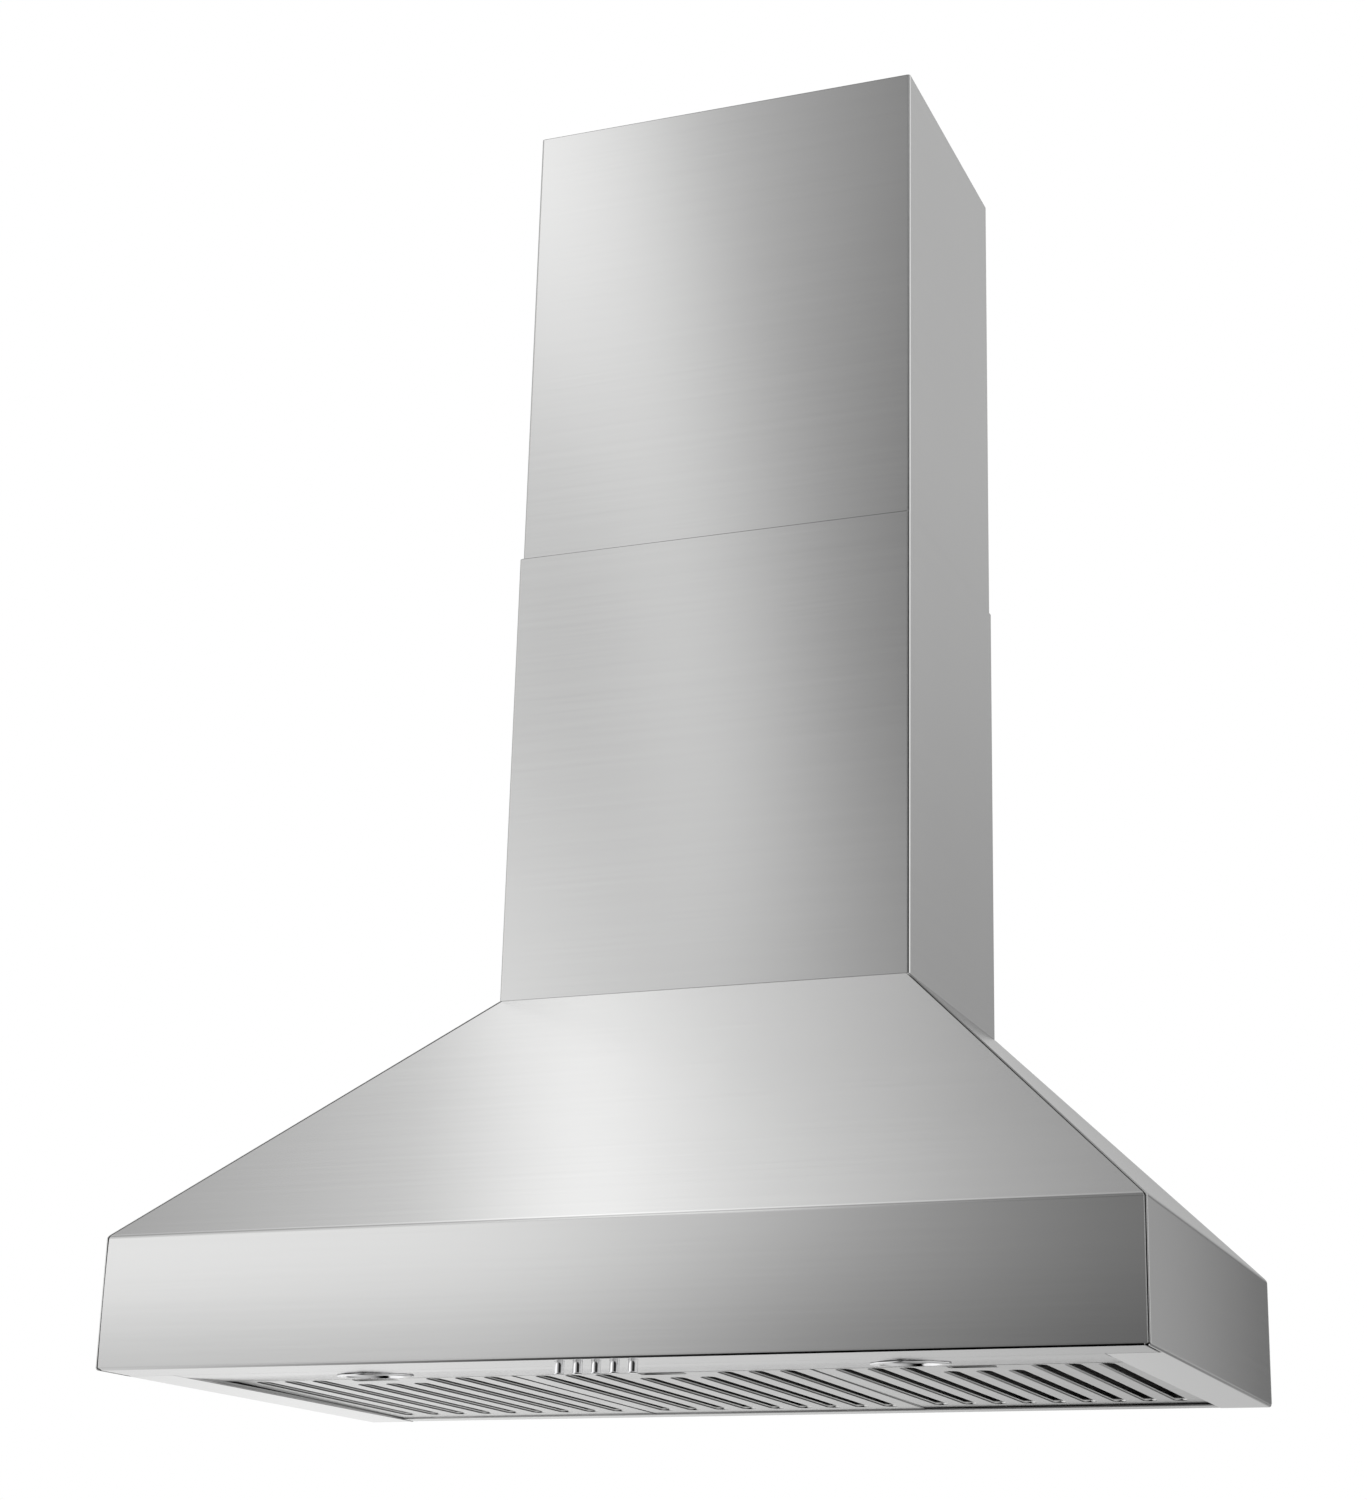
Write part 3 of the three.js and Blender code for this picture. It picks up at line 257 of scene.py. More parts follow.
def make_floor():
    """A square plane with a pale matt material that is clear from below."""
    tree = new_material("pale_floor")
    paint = add(tree, "BsdfPrincipled", Base_Color=FLOOR_COLOUR, Roughness=0.9)
    clear = add(tree, "BsdfTransparent")
    below = add(tree, "NewGeometry").outputs["Backfacing"]
    mix = add(tree, "MixShader", None, below, paint.outputs[0], clear.outputs[0])
    add(tree, "OutputMaterial", Surface=mix.outputs[0])
    corners = np.array([(-1, -1, 0), (1, -1, 0), (1, 1, 0), (-1, 1, 0)]) * FLOOR_REACH
    mesh = bpy.data.meshes.new("floor")
    mesh.from_pydata((corners + (0, 0, FLOOR_HEIGHT)).tolist(), [], [(0, 1, 2, 3)])
    mesh.materials.append(MATERIALS["pale_floor"])
    floor = bpy.data.objects.new("floor", mesh)
    floor.visible_glossy = False
    scene.collection.objects.link(floor)


make_floor()
print("floor at", FLOOR_HEIGHT, "m")

# %% [markdown]
# ## Shared surface effects
#
# Three effects come back in several materials, so each is a node group with named inputs and outputs:
#
# - brushing: fine long scratches, from a noise that is stretched along the brushing direction
# - mottle: slow, faint patches of tone, as fingerprints and cleaning leave on steel
# - moulded grain: the small even texture of moulded plastic and painted castings
#
# The brushing reads a coordinate in metres, so its scale is the same on every sheet.

# %% Build the effect groups
FINE_SHARE = 0.6


def open_group(name, **inputs):
    """A new effect group, as (tree, its input sockets). An input has a default, or None for a vector."""
    tree = bpy.data.node_groups.new(name, "ShaderNodeTree")
    for socket, value in inputs.items():
        kind = "NodeSocketVector" if value is None else "NodeSocketFloat"
        made = tree.interface.new_socket(socket, in_out="INPUT", socket_type=kind)
        if value is not None:
            made.default_value = value
    return tree, tree.nodes.new("NodeGroupInput").outputs


def close_group(tree, **outputs):
    """The group, with an output socket for each value."""
    for socket in outputs:
        tree.interface.new_socket(socket, in_out="OUTPUT", socket_type="NodeSocketFloat")
    result = tree.nodes.new("NodeGroupOutput")
    for socket, source in outputs.items():
        tree.links.new(source, result.inputs[socket])
    return tree


def noise(tree, place, **sources):
    """The value of a noise at a place."""
    return add(tree, "TexNoise", Vector=place, **sources).outputs["Fac"]


def blended(tree, first, share, second):
    """The first value times its share, plus the second times the rest."""
    rest = math_node(tree, "MULTIPLY", second, 1 - share)
    return math_node(tree, "MULTIPLY_ADD", first, share, rest)


def build_brushing():
    """Scratches: two noises stretched along the first coordinate, the finer one on top of the coarser."""
    tree, given = open_group("brushing", Place=None, Along=9.0, Across=1500.0)
    stretch = add(tree, "CombineXYZ", None, given["Along"], given["Across"], given["Across"])
    scaled = add(tree, "VectorMath", {"operation": "MULTIPLY"}, given["Place"], stretch.outputs["Vector"])
    place = scaled.outputs["Vector"]
    fine = noise(tree, place, Scale=1.0, Detail=2.0, Roughness=0.6)
    coarse = noise(tree, place, Scale=0.13, Detail=1.0, Roughness=0.5)
    return close_group(tree, Streak=blended(tree, fine, FINE_SHARE, coarse))


def build_mottle():
    """Patches: one large soft noise, read in object space."""
    tree, given = open_group("mottle", Scale=6.0)
    place = add(tree, "TexCoord").outputs["Object"]
    return close_group(tree, Patch=noise(tree, place, Scale=given["Scale"], Detail=3.0, Roughness=0.55))


def build_grain():
    """Moulded grain: a fine noise for the height and a slower one for the tone, in object space."""
    tree, given = open_group("moulded_grain", Scale=900.0)
    place = add(tree, "TexCoord").outputs["Object"]
    height = noise(tree, place, Scale=given["Scale"], Detail=2.0, Roughness=0.6)
    return close_group(tree, Height=height, Tone=noise(tree, place, Scale=14.0, Detail=2.0))


BRUSHING, MOTTLE, GRAIN = build_brushing(), build_mottle(), build_grain()
print("groups", [group.name for group in bpy.data.node_groups])

# %% [markdown]
# ## The metals
#
# Brushed sheet steel is a metal whose scratches all run one way. They blur a reflection across the
# scratches and leave it sharper along them, which the Principled shader gives through its anisotropy.
# The direction comes from a UV map whose U runs along the scratches, so each folded sheet carries one.
# The other metals need no such map: the filters' plainer steel, zinc-coated sheet with its frosty
# spangle, chrome plating, and satin aluminium for the lamp dishes.

# %% Mix the metals
PATCH_SHARE = 0.35
# Painted shade: EDGE_SHADE is the colour a sheet is darkened towards along a few marked edges where a shadow
# falls.
EDGE_SHADE = 0.2
PATCH_DARK = 0.93
BRUSHING_DEPTH = 0.000012
BUMP_STRENGTH = 0.5
QUARTER_TURN = 0.25
MIX_COLOURS = (6, 7)  # where a Mix node has its two colours


def between(tree, mask, low, high):
    """A value that runs from low to high with a mask from 0 to 1."""
    return add(tree, "MapRange", Value=mask, To_Min=low, To_Max=high).outputs["Result"]


def tinted(tree, mask, dark, light, blend="MIX"):
    """A colour between two, by a mask from 0 to 1. Each colour is a socket or (red, green, blue)."""
    node = add(tree, "Mix", {"data_type": "RGBA", "blend_type": blend}, mask)
    for index, colour in zip(MIX_COLOURS, (dark, light)):
        source = colour if isinstance(colour, bpy.types.NodeSocket) else (*colour, 1)
        feed(tree, node.inputs[index], source)
    return node.outputs[2]


def bumped(tree, height, distance):
    """The normal of a surface whose height, from 0 to 1, stands for a distance in metres."""
    return add(tree, "Bump", Height=height, Distance=distance, Strength=BUMP_STRENGTH).outputs["Normal"]


def patches(tree, scale):
    """Slow patches of tone from 0 to 1."""
    return add(tree, "Group", {"node_tree": MOTTLE}, Scale=scale).outputs["Patch"]


def principled(tree, **sources):
    """The shader that every piece has, joined to the material's output."""
    shader = add(tree, "BsdfPrincipled", **sources)
    add(tree, "OutputMaterial", Surface=shader.outputs[0])
    return shader


def brushed_metal(name, dark, light, rough, along, across, anisotropy=0.0):
    """Metal with scratches, whose noise has a scale along and one across them. They run along U of the
    piece's UV map if the metal is anisotropic, and otherwise along X of its object space."""
    tree = new_material(name)
    if anisotropy:
        place = add(tree, "UVMap", {"uv_map": "brushing"}).outputs["UV"]
    else:
        place = add(tree, "TexCoord").outputs["Object"]
    brushing = add(tree, "Group", {"node_tree": BRUSHING}, Place=place, Along=along, Across=across)
    streak = brushing.outputs["Streak"]
    tone = blended(tree, patches(tree, 5.0), PATCH_SHARE, streak)
    # Painted shade: a point attribute darkens the steel towards EDGE_SHADE where a shadow falls in a joint or
    # a hem.
    painted_edge_shade = add(tree, "Attribute", {"attribute_name": "painted_edge_shade"}).outputs["Fac"]
    shade = tinted(tree, painted_edge_shade, (1, 1, 1), [EDGE_SHADE] * 3)
    colour = tinted(tree, 1.0, tinted(tree, tone, dark, light), shade, "MULTIPLY")
    steel = principled(tree, Base_Color=colour, Metallic=1.0, Roughness=between(tree, tone, *rough))
    feed(tree, steel.inputs["Normal"], bumped(tree, streak, BRUSHING_DEPTH))
    if anisotropy:
        tangent = add(tree, "Tangent", {"direction_type": "UV_MAP", "uv_map": "brushing"})
        feed(tree, steel.inputs["Tangent"], tangent.outputs["Tangent"])
        steel.inputs["Anisotropic"].default_value = anisotropy
        steel.inputs["Anisotropic Rotation"].default_value = QUARTER_TURN


def plated_metal(name, colour, rough, scale=40.0, metallic=1.0):
    """Bright metal whose roughness and tone drift a little from place to place; less metallic is satin."""
    tree = new_material(name)
    patch = patches(tree, scale)
    tone = tinted(tree, patch, [PATCH_DARK * c for c in colour], colour)
    principled(tree, Base_Color=tone, Metallic=metallic, Roughness=between(tree, patch, *rough))


def zinc_coated(name):
    """Galvanised sheet: flat crystals of zinc, each with its own tone and gloss."""
    tree = new_material(name)
    place = add(tree, "TexCoord").outputs["Object"]
    settings = {"feature": "F1", "distance": "CHEBYCHEV"}
    crystals = add(tree, "TexVoronoi", settings, Vector=place, Scale=140.0, Randomness=1.0)
    crystal = add(tree, "SeparateColor", Color=crystals.outputs["Color"]).outputs
    tone = tinted(tree, crystal["Red"], (0.42, 0.43, 0.45), (0.62, 0.63, 0.65))
    principled(tree, Base_Color=tone, Metallic=0.6, Roughness=between(tree, crystal["Green"], 0.38, 0.6))


brushed_metal("brushed_steel", (0.56, 0.56, 0.559), (0.66, 0.66, 0.658), (0.117, 0.163), 9.0, 1500.0, 0.8)
brushed_metal("filter_steel", (0.57, 0.57, 0.563), (0.67, 0.67, 0.663), (0.16, 0.24), 30.0, 700.0)
# Painted shade: the channels' steel is the filter steel made darker and rougher, for the shadow they stand in
# inside the filters.
brushed_metal("channel_steel_painted_shade", (0.2, 0.2, 0.198), (0.3, 0.3, 0.296), (0.34, 0.46), 30.0, 700.0)
zinc_coated("galvanised")
plated_metal("chrome", (0.86, 0.86, 0.87), (0.04, 0.09))
plated_metal("reflector", (0.93, 0.93, 0.92), (0.25, 0.35), 90.0, metallic=0.25)
plated_metal("wheel_aluminium", (0.72, 0.73, 0.74), (0.3, 0.42), 30.0)
print("metals", sorted(MATERIALS))

# %% [markdown]
# ## Plastics, paint, ceramic and glass
#
# The pieces that hold the works together are moulded plastic with a fine grain. The motor is a painted
# casting, the lamp holders are off-white ceramic, and the lamp glass is clear.

# %% Mix the rest
DRIFT_LIGHT = 1.18
DRIFT_ROUGH = 0.06


def moulded(name, colour, rough, grain=900.0, depth=0.00006, coat=0.0):
    """Plastic, paint or ceramic: a colour with a slow drift, over a fine grain."""
    tree = new_material(name)
    texture = add(tree, "Group", {"node_tree": GRAIN}, Scale=grain).outputs
    principled(
        tree,
        Base_Color=tinted(tree, texture["Tone"], colour, [min(1.0, DRIFT_LIGHT * c) for c in colour]),
        Roughness=between(tree, texture["Tone"], rough - DRIFT_ROUGH, rough + DRIFT_ROUGH),
        Normal=bumped(tree, texture["Height"], depth),
        Coat_Weight=coat,
        Coat_Roughness=0.15,
    )


def lamp_glass(name):
    """Clear glass with a trace of dust in its roughness."""
    tree = new_material(name)
    rough = between(tree, patches(tree, 60.0), 0.02, 0.1)
    principled(tree, Base_Color=(0.96, 0.98, 0.98, 1), Roughness=rough, Transmission_Weight=1.0, IOR=1.46)


moulded("black_plastic", (0.022, 0.022, 0.023), 0.45)
moulded("grey_plastic", (0.26, 0.265, 0.27), 0.5)
moulded("motor_paint", (0.045, 0.048, 0.053), 0.4, grain=350.0, depth=0.0002, coat=0.3)
moulded("ceramic", (0.78, 0.75, 0.68), 0.45, grain=600.0, depth=0.00004)
lamp_glass("glass")
print("materials", sorted(MATERIALS))

# %% Give every node of the frame its finish
SLOT_OF_NODE = {entry["node"]: entry["material_slot"] for entry in frame["record"]["subparts"]}
for name, cad_object in frame["nodes"].items():
    cad_object.data.materials.clear()
    cad_object.data.materials.append(MATERIALS[SLOT_OF_NODE[name]])
print("slots in use", sorted(set(SLOT_OF_NODE.values())))

# %% [markdown]
# ## Helpers for meshes
#
# Three ways of making a closed surface cover every piece of this hood:
#
# - a lofted sheet: a closed outline is set down at several stations, and quads join station to station
# - a turned piece: a profile is swept round an axis
# - a pressed plate: rings round an outline and round each hole are joined like terraces, and the flat
#   parts between them are triangulated
#
# All of them are arrays of points computed at once. A surface is a pair: points (n, 3), and a list of
# face arrays, each with faces of one length.

# %% Put arrays of points into meshes


def signed_volume(points, faces):
    """Six times the volume inside: the sum over triangle fans of a . (b x c), positive if faces look out."""
    total = 0.0
    for corners in faces:
        fan = points[corners]
        first, second, third = fan[:, :1], fan[:, 1:-1], fan[:, 2:]
        total += np.einsum("ijk,ijk->", np.broadcast_to(first, second.shape), np.cross(second, third))
    return total


def new_mesh(name, points, faces):
    """A mesh from a surface, its faces turned outwards by the sign of the volume they enclose."""
    if signed_volume(points, faces) < 0:
        faces = [corners[:, ::-1] for corners in faces]
    mesh = bpy.data.meshes.new(name)
    mesh.from_pydata(points.tolist(), [], [row for corners in faces for row in corners.tolist()])
    return mesh


def make_piece(name, node, body, slot, surface, uv=None, shade=None, sharp=28.0, finish=None):
    """A piece that stands for a node and rides on a body, its doubles merged.

    uv places each point in the brushing, and shade says from 0 to 1 how much painted shade darkens the sheet
    there.
    """
    mesh = new_mesh(name, *surface)
    if uv is not None:
        layer = mesh.uv_layers.new(name="brushing")
        indices = np.empty(len(mesh.loops), dtype=np.int32)
        mesh.loops.foreach_get("vertex_index", indices)
        layer.data.foreach_set("uv", np.asarray(uv, dtype=np.float32)[indices].ravel())
    # The shade values are painted shade, kept on the mesh as a point attribute.
    if shade is not None:
        layer = mesh.attributes.new("painted_edge_shade", "FLOAT", "POINT")
        layer.data.foreach_set("value", np.asarray(shade, dtype=np.float32))
    merged = bmesh.new()
    merged.from_mesh(mesh)
    bmesh.ops.remove_doubles(merged, verts=merged.verts, dist=1e-7)
    merged.to_mesh(mesh)
    merged.free()
    mesh.shade_smooth()
    mesh.set_sharp_from_angle(angle=math.radians(sharp))
    mesh.materials.append(MATERIALS[finish or slot])
    piece = bpy.data.objects.new(name, mesh)
    scene.collection.objects.link(piece)
    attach(piece, body)
    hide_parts(node)
    return piece


def ring_quads(first, second, count):
    """Quads between two closed rings of count points that start at two indices."""
    here = np.arange(count)
    after = (here + 1) % count
    return np.column_stack([first + here, first + after, second + after, second + here])


def lofted(loops):
    """The surface of a closed outline (even count, out along one face and back along the other) set down
    at stations: loops is (stations, count, 3). Both ends are closed with strips of quads."""
    stations, count = loops.shape[:2]
    faces = [ring_quads(s * count, (s + 1) * count, count) for s in range(stations - 1)]
    here = np.arange(count // 2 - 1)
    cap = np.column_stack([here, here + 1, count - 2 - here, count - 1 - here])
    return loops.reshape(-1, 3), faces + [cap[:, ::-1], cap + (stations - 1) * count]


def several(surfaces):
    """Several closed surfaces as one."""
    starts = np.cumsum([0] + [len(points) for points, _ in surfaces])
    faces = [corners + start for start, (_, arrays) in zip(starts, surfaces) for corners in arrays]
    return np.concatenate([points for points, _ in surfaces]), faces


def seated(surface, seat):
    """A surface turned about the X axis by a seat's tilt and then carried to its origin."""
    (x, y, z), (place, tilt) = surface[0].T, seat
    turned_y = y * math.cos(tilt) - z * math.sin(tilt)
    turned_z = y * math.sin(tilt) + z * math.cos(tilt)
    return np.column_stack([x, turned_y, turned_z]) + place, surface[1]


print("two rings of four points are joined by", len(ring_quads(0, 4, 4)), "quads")

# %% Fold a path and give it a thickness


def unit(vectors):
    """A vector, or each row of an array, scaled to length one."""
    return vectors / np.linalg.norm(vectors, axis=-1, keepdims=True)


def quarter(steps):
    """How far a rounded edge of radius 1 moves in and drops over a quarter turn: 1 - sin and 1 - cos."""
    turn = np.linspace(0, math.pi / 2, steps + 1)
    return 1 - np.sin(turn), 1 - np.cos(turn)


def folded(corners, radii, steps=8, support=0.4 * MM):
    """A path through corners with each inner corner replaced by an arc tangent to both legs.

    With half the angle between the legs h, the arc starts radius / tan(h) from the corner and its centre
    lies radius / sin(h) along the bisector. A support point stands beside each end of the arc, so that the
    flat legs keep flat normals. A radius of zero keeps the corner.
    """
    corners = np.asarray(corners, dtype=float)
    path = [corners[:1]]
    for before, corner, after, radius in zip(corners, corners[1:], corners[2:], radii):
        if radius == 0:
            path.append(corner[None])
            continue
        a, b = unit(before - corner), unit(after - corner)
        half = math.acos(np.clip(a @ b, -1, 1)) / 2
        reach = radius / math.tan(half)
        centre = corner + unit(a + b) * radius / math.sin(half)
        start, end = corner + a * reach - centre, corner + b * reach - centre
        sweep = math.pi - 2 * half
        share = np.linspace(0, 1, steps + 1)[:, None]
        arc = (start * np.sin((1 - share) * sweep) + end * np.sin(share * sweep)) / math.sin(sweep)
        path += [(corner + a * (reach + support))[None], centre + arc, (corner + b * (reach + support))[None]]
    path.append(corners[-1:])
    return np.concatenate(path)


def beside(path, distance):
    """A path moved to the left of its direction: each point goes along the mean of its two normals, far
    enough that both legs move by the distance."""
    legs = np.diff(path, axis=0)
    normals = unit(np.column_stack([-legs[:, 1], legs[:, 0]]))
    before = np.concatenate([normals[:1], normals])
    after = np.concatenate([normals, normals[-1:]])
    return path + distance * (before + after) / (1 + np.sum(before * after, axis=1))[:, None]


def in_space(axis, place, along):
    """Points (n, 2) across an axis, as (n, 3) in space: (y, z) for x, (x, z) for y, (x, y) for z."""
    return np.insert(np.asarray(place, dtype=float), "xyz".index(axis), along, axis=1)


def sheet_between(axis, face, back, low, high, edge=0.0, steps=3):
    """A folded sheet as (surface, uv): its face and its back as paired paths, carried along an axis.

    It reaches from low to high, which are numbers, or one value for each point of face and back. With an
    edge radius, the face rolls off towards the back at both ends over a quarter of a circle, and a support
    row beside it keeps the flat part's normals flat. U runs along the axis, and V along the path.
    """
    outline = np.concatenate([face, back[::-1]])
    towards = np.concatenate([unit(back - face), np.zeros_like(back)])
    inset, drop = (edge * part for part in quarter(steps if edge else 0))
    if edge:
        inset, drop = np.concatenate([[edge + 0.4 * MM], inset]), np.concatenate([[0.0], drop])
    loops = [in_space(axis, outline + towards * d, low + i) for i, d in zip(inset[::-1], drop[::-1])]
    loops += [in_space(axis, outline + towards * d, high - i) for i, d in zip(inset, drop)]
    distance = np.concatenate([[0.0], np.cumsum(np.linalg.norm(np.diff(face, axis=0), axis=1))])
    across = np.tile(np.concatenate([distance, distance[::-1]]), len(loops))
    surface = lofted(np.array(loops))
    return surface, np.column_stack([surface[0][:, "xyz".index(axis)], across])


print("an elbow of 2 mm has", len(folded([(0, 0), (0.01, 0), (0.01, 0.01)], [0.002])), "points")

# %% [markdown]
# ## The canopy
#
# The canopy is what the eye sees first: a low vertical band, a slope up to the chimney and a flange
# turned in below. On the real hood a press brake folds each sheet, which leaves a soft bend where the
# band meets the slope and a tight one at the rim. A box with bevelled edges would look cast, so each sheet
# is one path with real bends, carried from hip to hip. The front sheet and the side sheets meet on the
# hips: each ends where the other's face is at the same height, with a hair of shadow between them.

# %% Sizes of the canopy
HALF_WIDTH = 457 * MM
DEPTH = 508 * MM
BAND_TOP = RIM + 114 * MM
CANOPY_TOP = RIM + 356 * MM
HALF_CHIMNEY = 200 * MM
CHIMNEY_DEPTH = 285 * MM
SHEET = 1.2 * MM
SEAM = 0.3 * MM
FLANGE_REAR = -458 * MM
SIDE_FLANGE_EDGE = 410 * MM
FLANGE_CORNER = 452 * MM
RIM_BEND, BAND_BEND = 2.4 * MM, 6 * MM
BOW = 0.8 * MM
CORNER_GAP = 0.8 * MM
HEM = 3.4 * MM
HEM_BEND = 0.6 * MM
# Painted shade on the inside of the side hems, which stand in shadow above the filters.
HEM_SHADE = 0.6

bow_share = np.linspace(-1, 1, 9)
bowed_band = [(BOW * t * t - DEPTH, RIM + (1 + t) / 2 * (BAND_TOP - RIM)) for t in bow_share]
front_corners = [(FLANGE_REAR, RIM), *bowed_band, (-CHIMNEY_DEPTH, CANOPY_TOP)]
front_face = folded(front_corners, [RIM_BEND, *[0] * 7, BAND_BEND])
side_corners = [(SIDE_FLANGE_EDGE, RIM + HEM), (SIDE_FLANGE_EDGE, RIM), (HALF_WIDTH, RIM)]
side_corners += [(HALF_WIDTH, BAND_TOP), (HALF_CHIMNEY, CANOPY_TOP)]
side_face = folded(side_corners, [HEM_BEND, RIM_BEND, BAND_BEND])


def reach_at(path, height):
    """How far out a canopy path is at a height, read off its part from the rim upwards."""
    first = np.flatnonzero(path[:, 1] < RIM + 1e-9)[-1]
    return np.interp(height, path[first:, 1], path[first:, 0])


def front_end_at(height):
    """Half the front sheet's width at a height: it stops a gap short of the side sheets' inner face, and
    its flange stops where their rim begins to bend."""
    rise = CANOPY_TOP - BAND_TOP
    slanted = SHEET * math.hypot(rise, HALF_WIDTH - HALF_CHIMNEY) / rise
    inside = np.interp(height, [BAND_TOP - BAND_BEND, BAND_TOP + BAND_BEND], [SHEET, slanted]) + CORNER_GAP
    return np.where(height > RIM + SHEET + SEAM, reach_at(side_face, height) - inside, FLANGE_CORNER)


def level_top(face, back):
    """The back with its last point moved along its leg, so that the sheet's top edge is level."""
    leg = back[-1] - back[-2]
    return np.concatenate([back[:-1], [back[-1] + leg * (face[-1, 1] - back[-1, 1]) / leg[1]]])


print("canopy front path", len(front_face), "points, side path", len(side_face), "points")

# %% Cut holes with a cutter
THROUGH = (-10 * MM, 10 * MM)


def cut_with(piece, cutters):
    """The piece less closed cutters: an exact Boolean, applied at once, after which the cutters go."""
    mesh = new_mesh("cutter", *several(cutters))
    cutter = bpy.data.objects.new("cutter", mesh)
    scene.collection.objects.link(cutter)
    modifier = piece.modifiers.new("cut", "BOOLEAN")
    modifier.operation, modifier.solver, modifier.object = "DIFFERENCE", "EXACT", cutter
    result = bpy.data.meshes.new_from_object(piece.evaluated_get(bpy.context.evaluated_depsgraph_get()))
    piece.modifiers.clear()
    old = piece.data
    piece.data = result
    result.name = piece.name
    bpy.data.objects.remove(cutter)
    bpy.data.meshes.remove(old)
    bpy.data.meshes.remove(mesh)


def rod(axis, radius, low, high, centre, segments=32):
    """A closed round bar as a cutter: two rings of points and two flat ends."""
    turn = np.linspace(0, 2 * math.pi, segments, endpoint=False)
    ring = np.column_stack([np.cos(turn), np.sin(turn)]) * radius
    rings = [in_space(axis, ring, value) for value in (low, high)]
    ends = [np.arange(segments)[None, ::-1], np.arange(segments)[None] + segments]
    return np.concatenate(rings) + centre, [ring_quads(0, segments, segments), *ends]


def block(low, high):
    """A plain closed box between two corners, for cutters."""
    low, high = np.asarray(low, dtype=float), np.asarray(high, dtype=float)
    share = np.array([[i, j, k] for k in (0, 1) for i, j in ((0, 0), (1, 0), (1, 1), (0, 1))])
    ends = [np.array([[3, 2, 1, 0]]), np.array([[4, 5, 6, 7]])]
    return low + share * (high - low), [ring_quads(0, 4, 4), *ends]


print("a rod has", len(rod("z", MM, *THROUGH, (0, 0, 0))[0]), "points")

# %% Fold the canopy's front
BUTTON_PLACES = [(i - 2) * 16.1 * MM for i in range(5)]
BUTTON_Y = -491 * MM
BUTTON_HOLE = 4.3 * MM


def make_canopy_front():
    """The front sheet, its ends on the hips, with the five button holes cut through its flange."""
    back = level_top(front_face, beside(front_face, -SHEET))
    ends = front_end_at(np.concatenate([front_face, back[::-1]])[:, 1])
    surface, uv = sheet_between("x", front_face, back, -ends, ends, edge=0.5 * MM)
    piece = make_piece("canopy_front_sheet", "canopy_front", "hood", "brushed_steel", surface, uv)
    cut_with(piece, [rod("z", BUTTON_HOLE, *THROUGH, (x, BUTTON_Y, RIM)) for x in BUTTON_PLACES])
    return piece


canopy_front = make_canopy_front()
print("canopy front", len(canopy_front.data.polygons), "faces")

# %% Fold the canopy's sides


def make_canopy_side(side, name):
    """A side sheet, mirrored by its sign, which covers the corner in front. Its flange starts behind the
    front flange, and twin points a micrometre apart make that step. The inside of its hem is darkened
    with painted shade."""
    corner = np.flatnonzero(side_face[:, 0] > FLANGE_CORNER + SEAM)[0]
    face = np.insert(side_face, corner, side_face[corner] - (1e-6, 0), axis=0)
    back = level_top(face, beside(face, SHEET))
    flange = np.arange(len(face)) <= corner
    starts = [np.where(flange, FLANGE_REAR + SEAM, reach_at(front_face, p[:, 1])) for p in (face, back)]
    start = np.concatenate([starts[0], starts[1][::-1]])
    (points, faces), uv = sheet_between("y", face, back, start, -SHEET - SEAM, edge=0.6 * MM)
    # The hem's points get painted shade.
    in_hem = (points[:, 0] < SIDE_FLANGE_EDGE + 2 * SHEET) & (points[:, 2] > RIM + 0.8 * MM)
    surface = points * [side, 1, 1], faces
    names = f"canopy_side_sheet_{name}", f"canopy_side_{name}"
    return make_piece(*names, "hood", "brushed_steel", surface, uv, HEM_SHADE * in_hem)


canopy_sides = [make_canopy_side(1, "right"), make_canopy_side(-1, "left")]
print("canopy sides", [len(piece.data.polygons) for piece in canopy_sides])

# %% Fold the back sheet
LEDGE_DEPTH = 25 * MM
LEDGE = RIM + 0.4 * MM
LEDGE_BEND = 2 * MM
KEYHOLES = (-120 * MM, 120 * MM)
KEYHOLE_DROP = 16 * MM
HEAD_RADIUS, SHANK_RADIUS = 7 * MM, 3.2 * MM
FIXINGS = (-280 * MM, 280 * MM)
FIXING_RADIUS = 3.5 * MM
FIXING_HEIGHT = RIM + 60 * MM


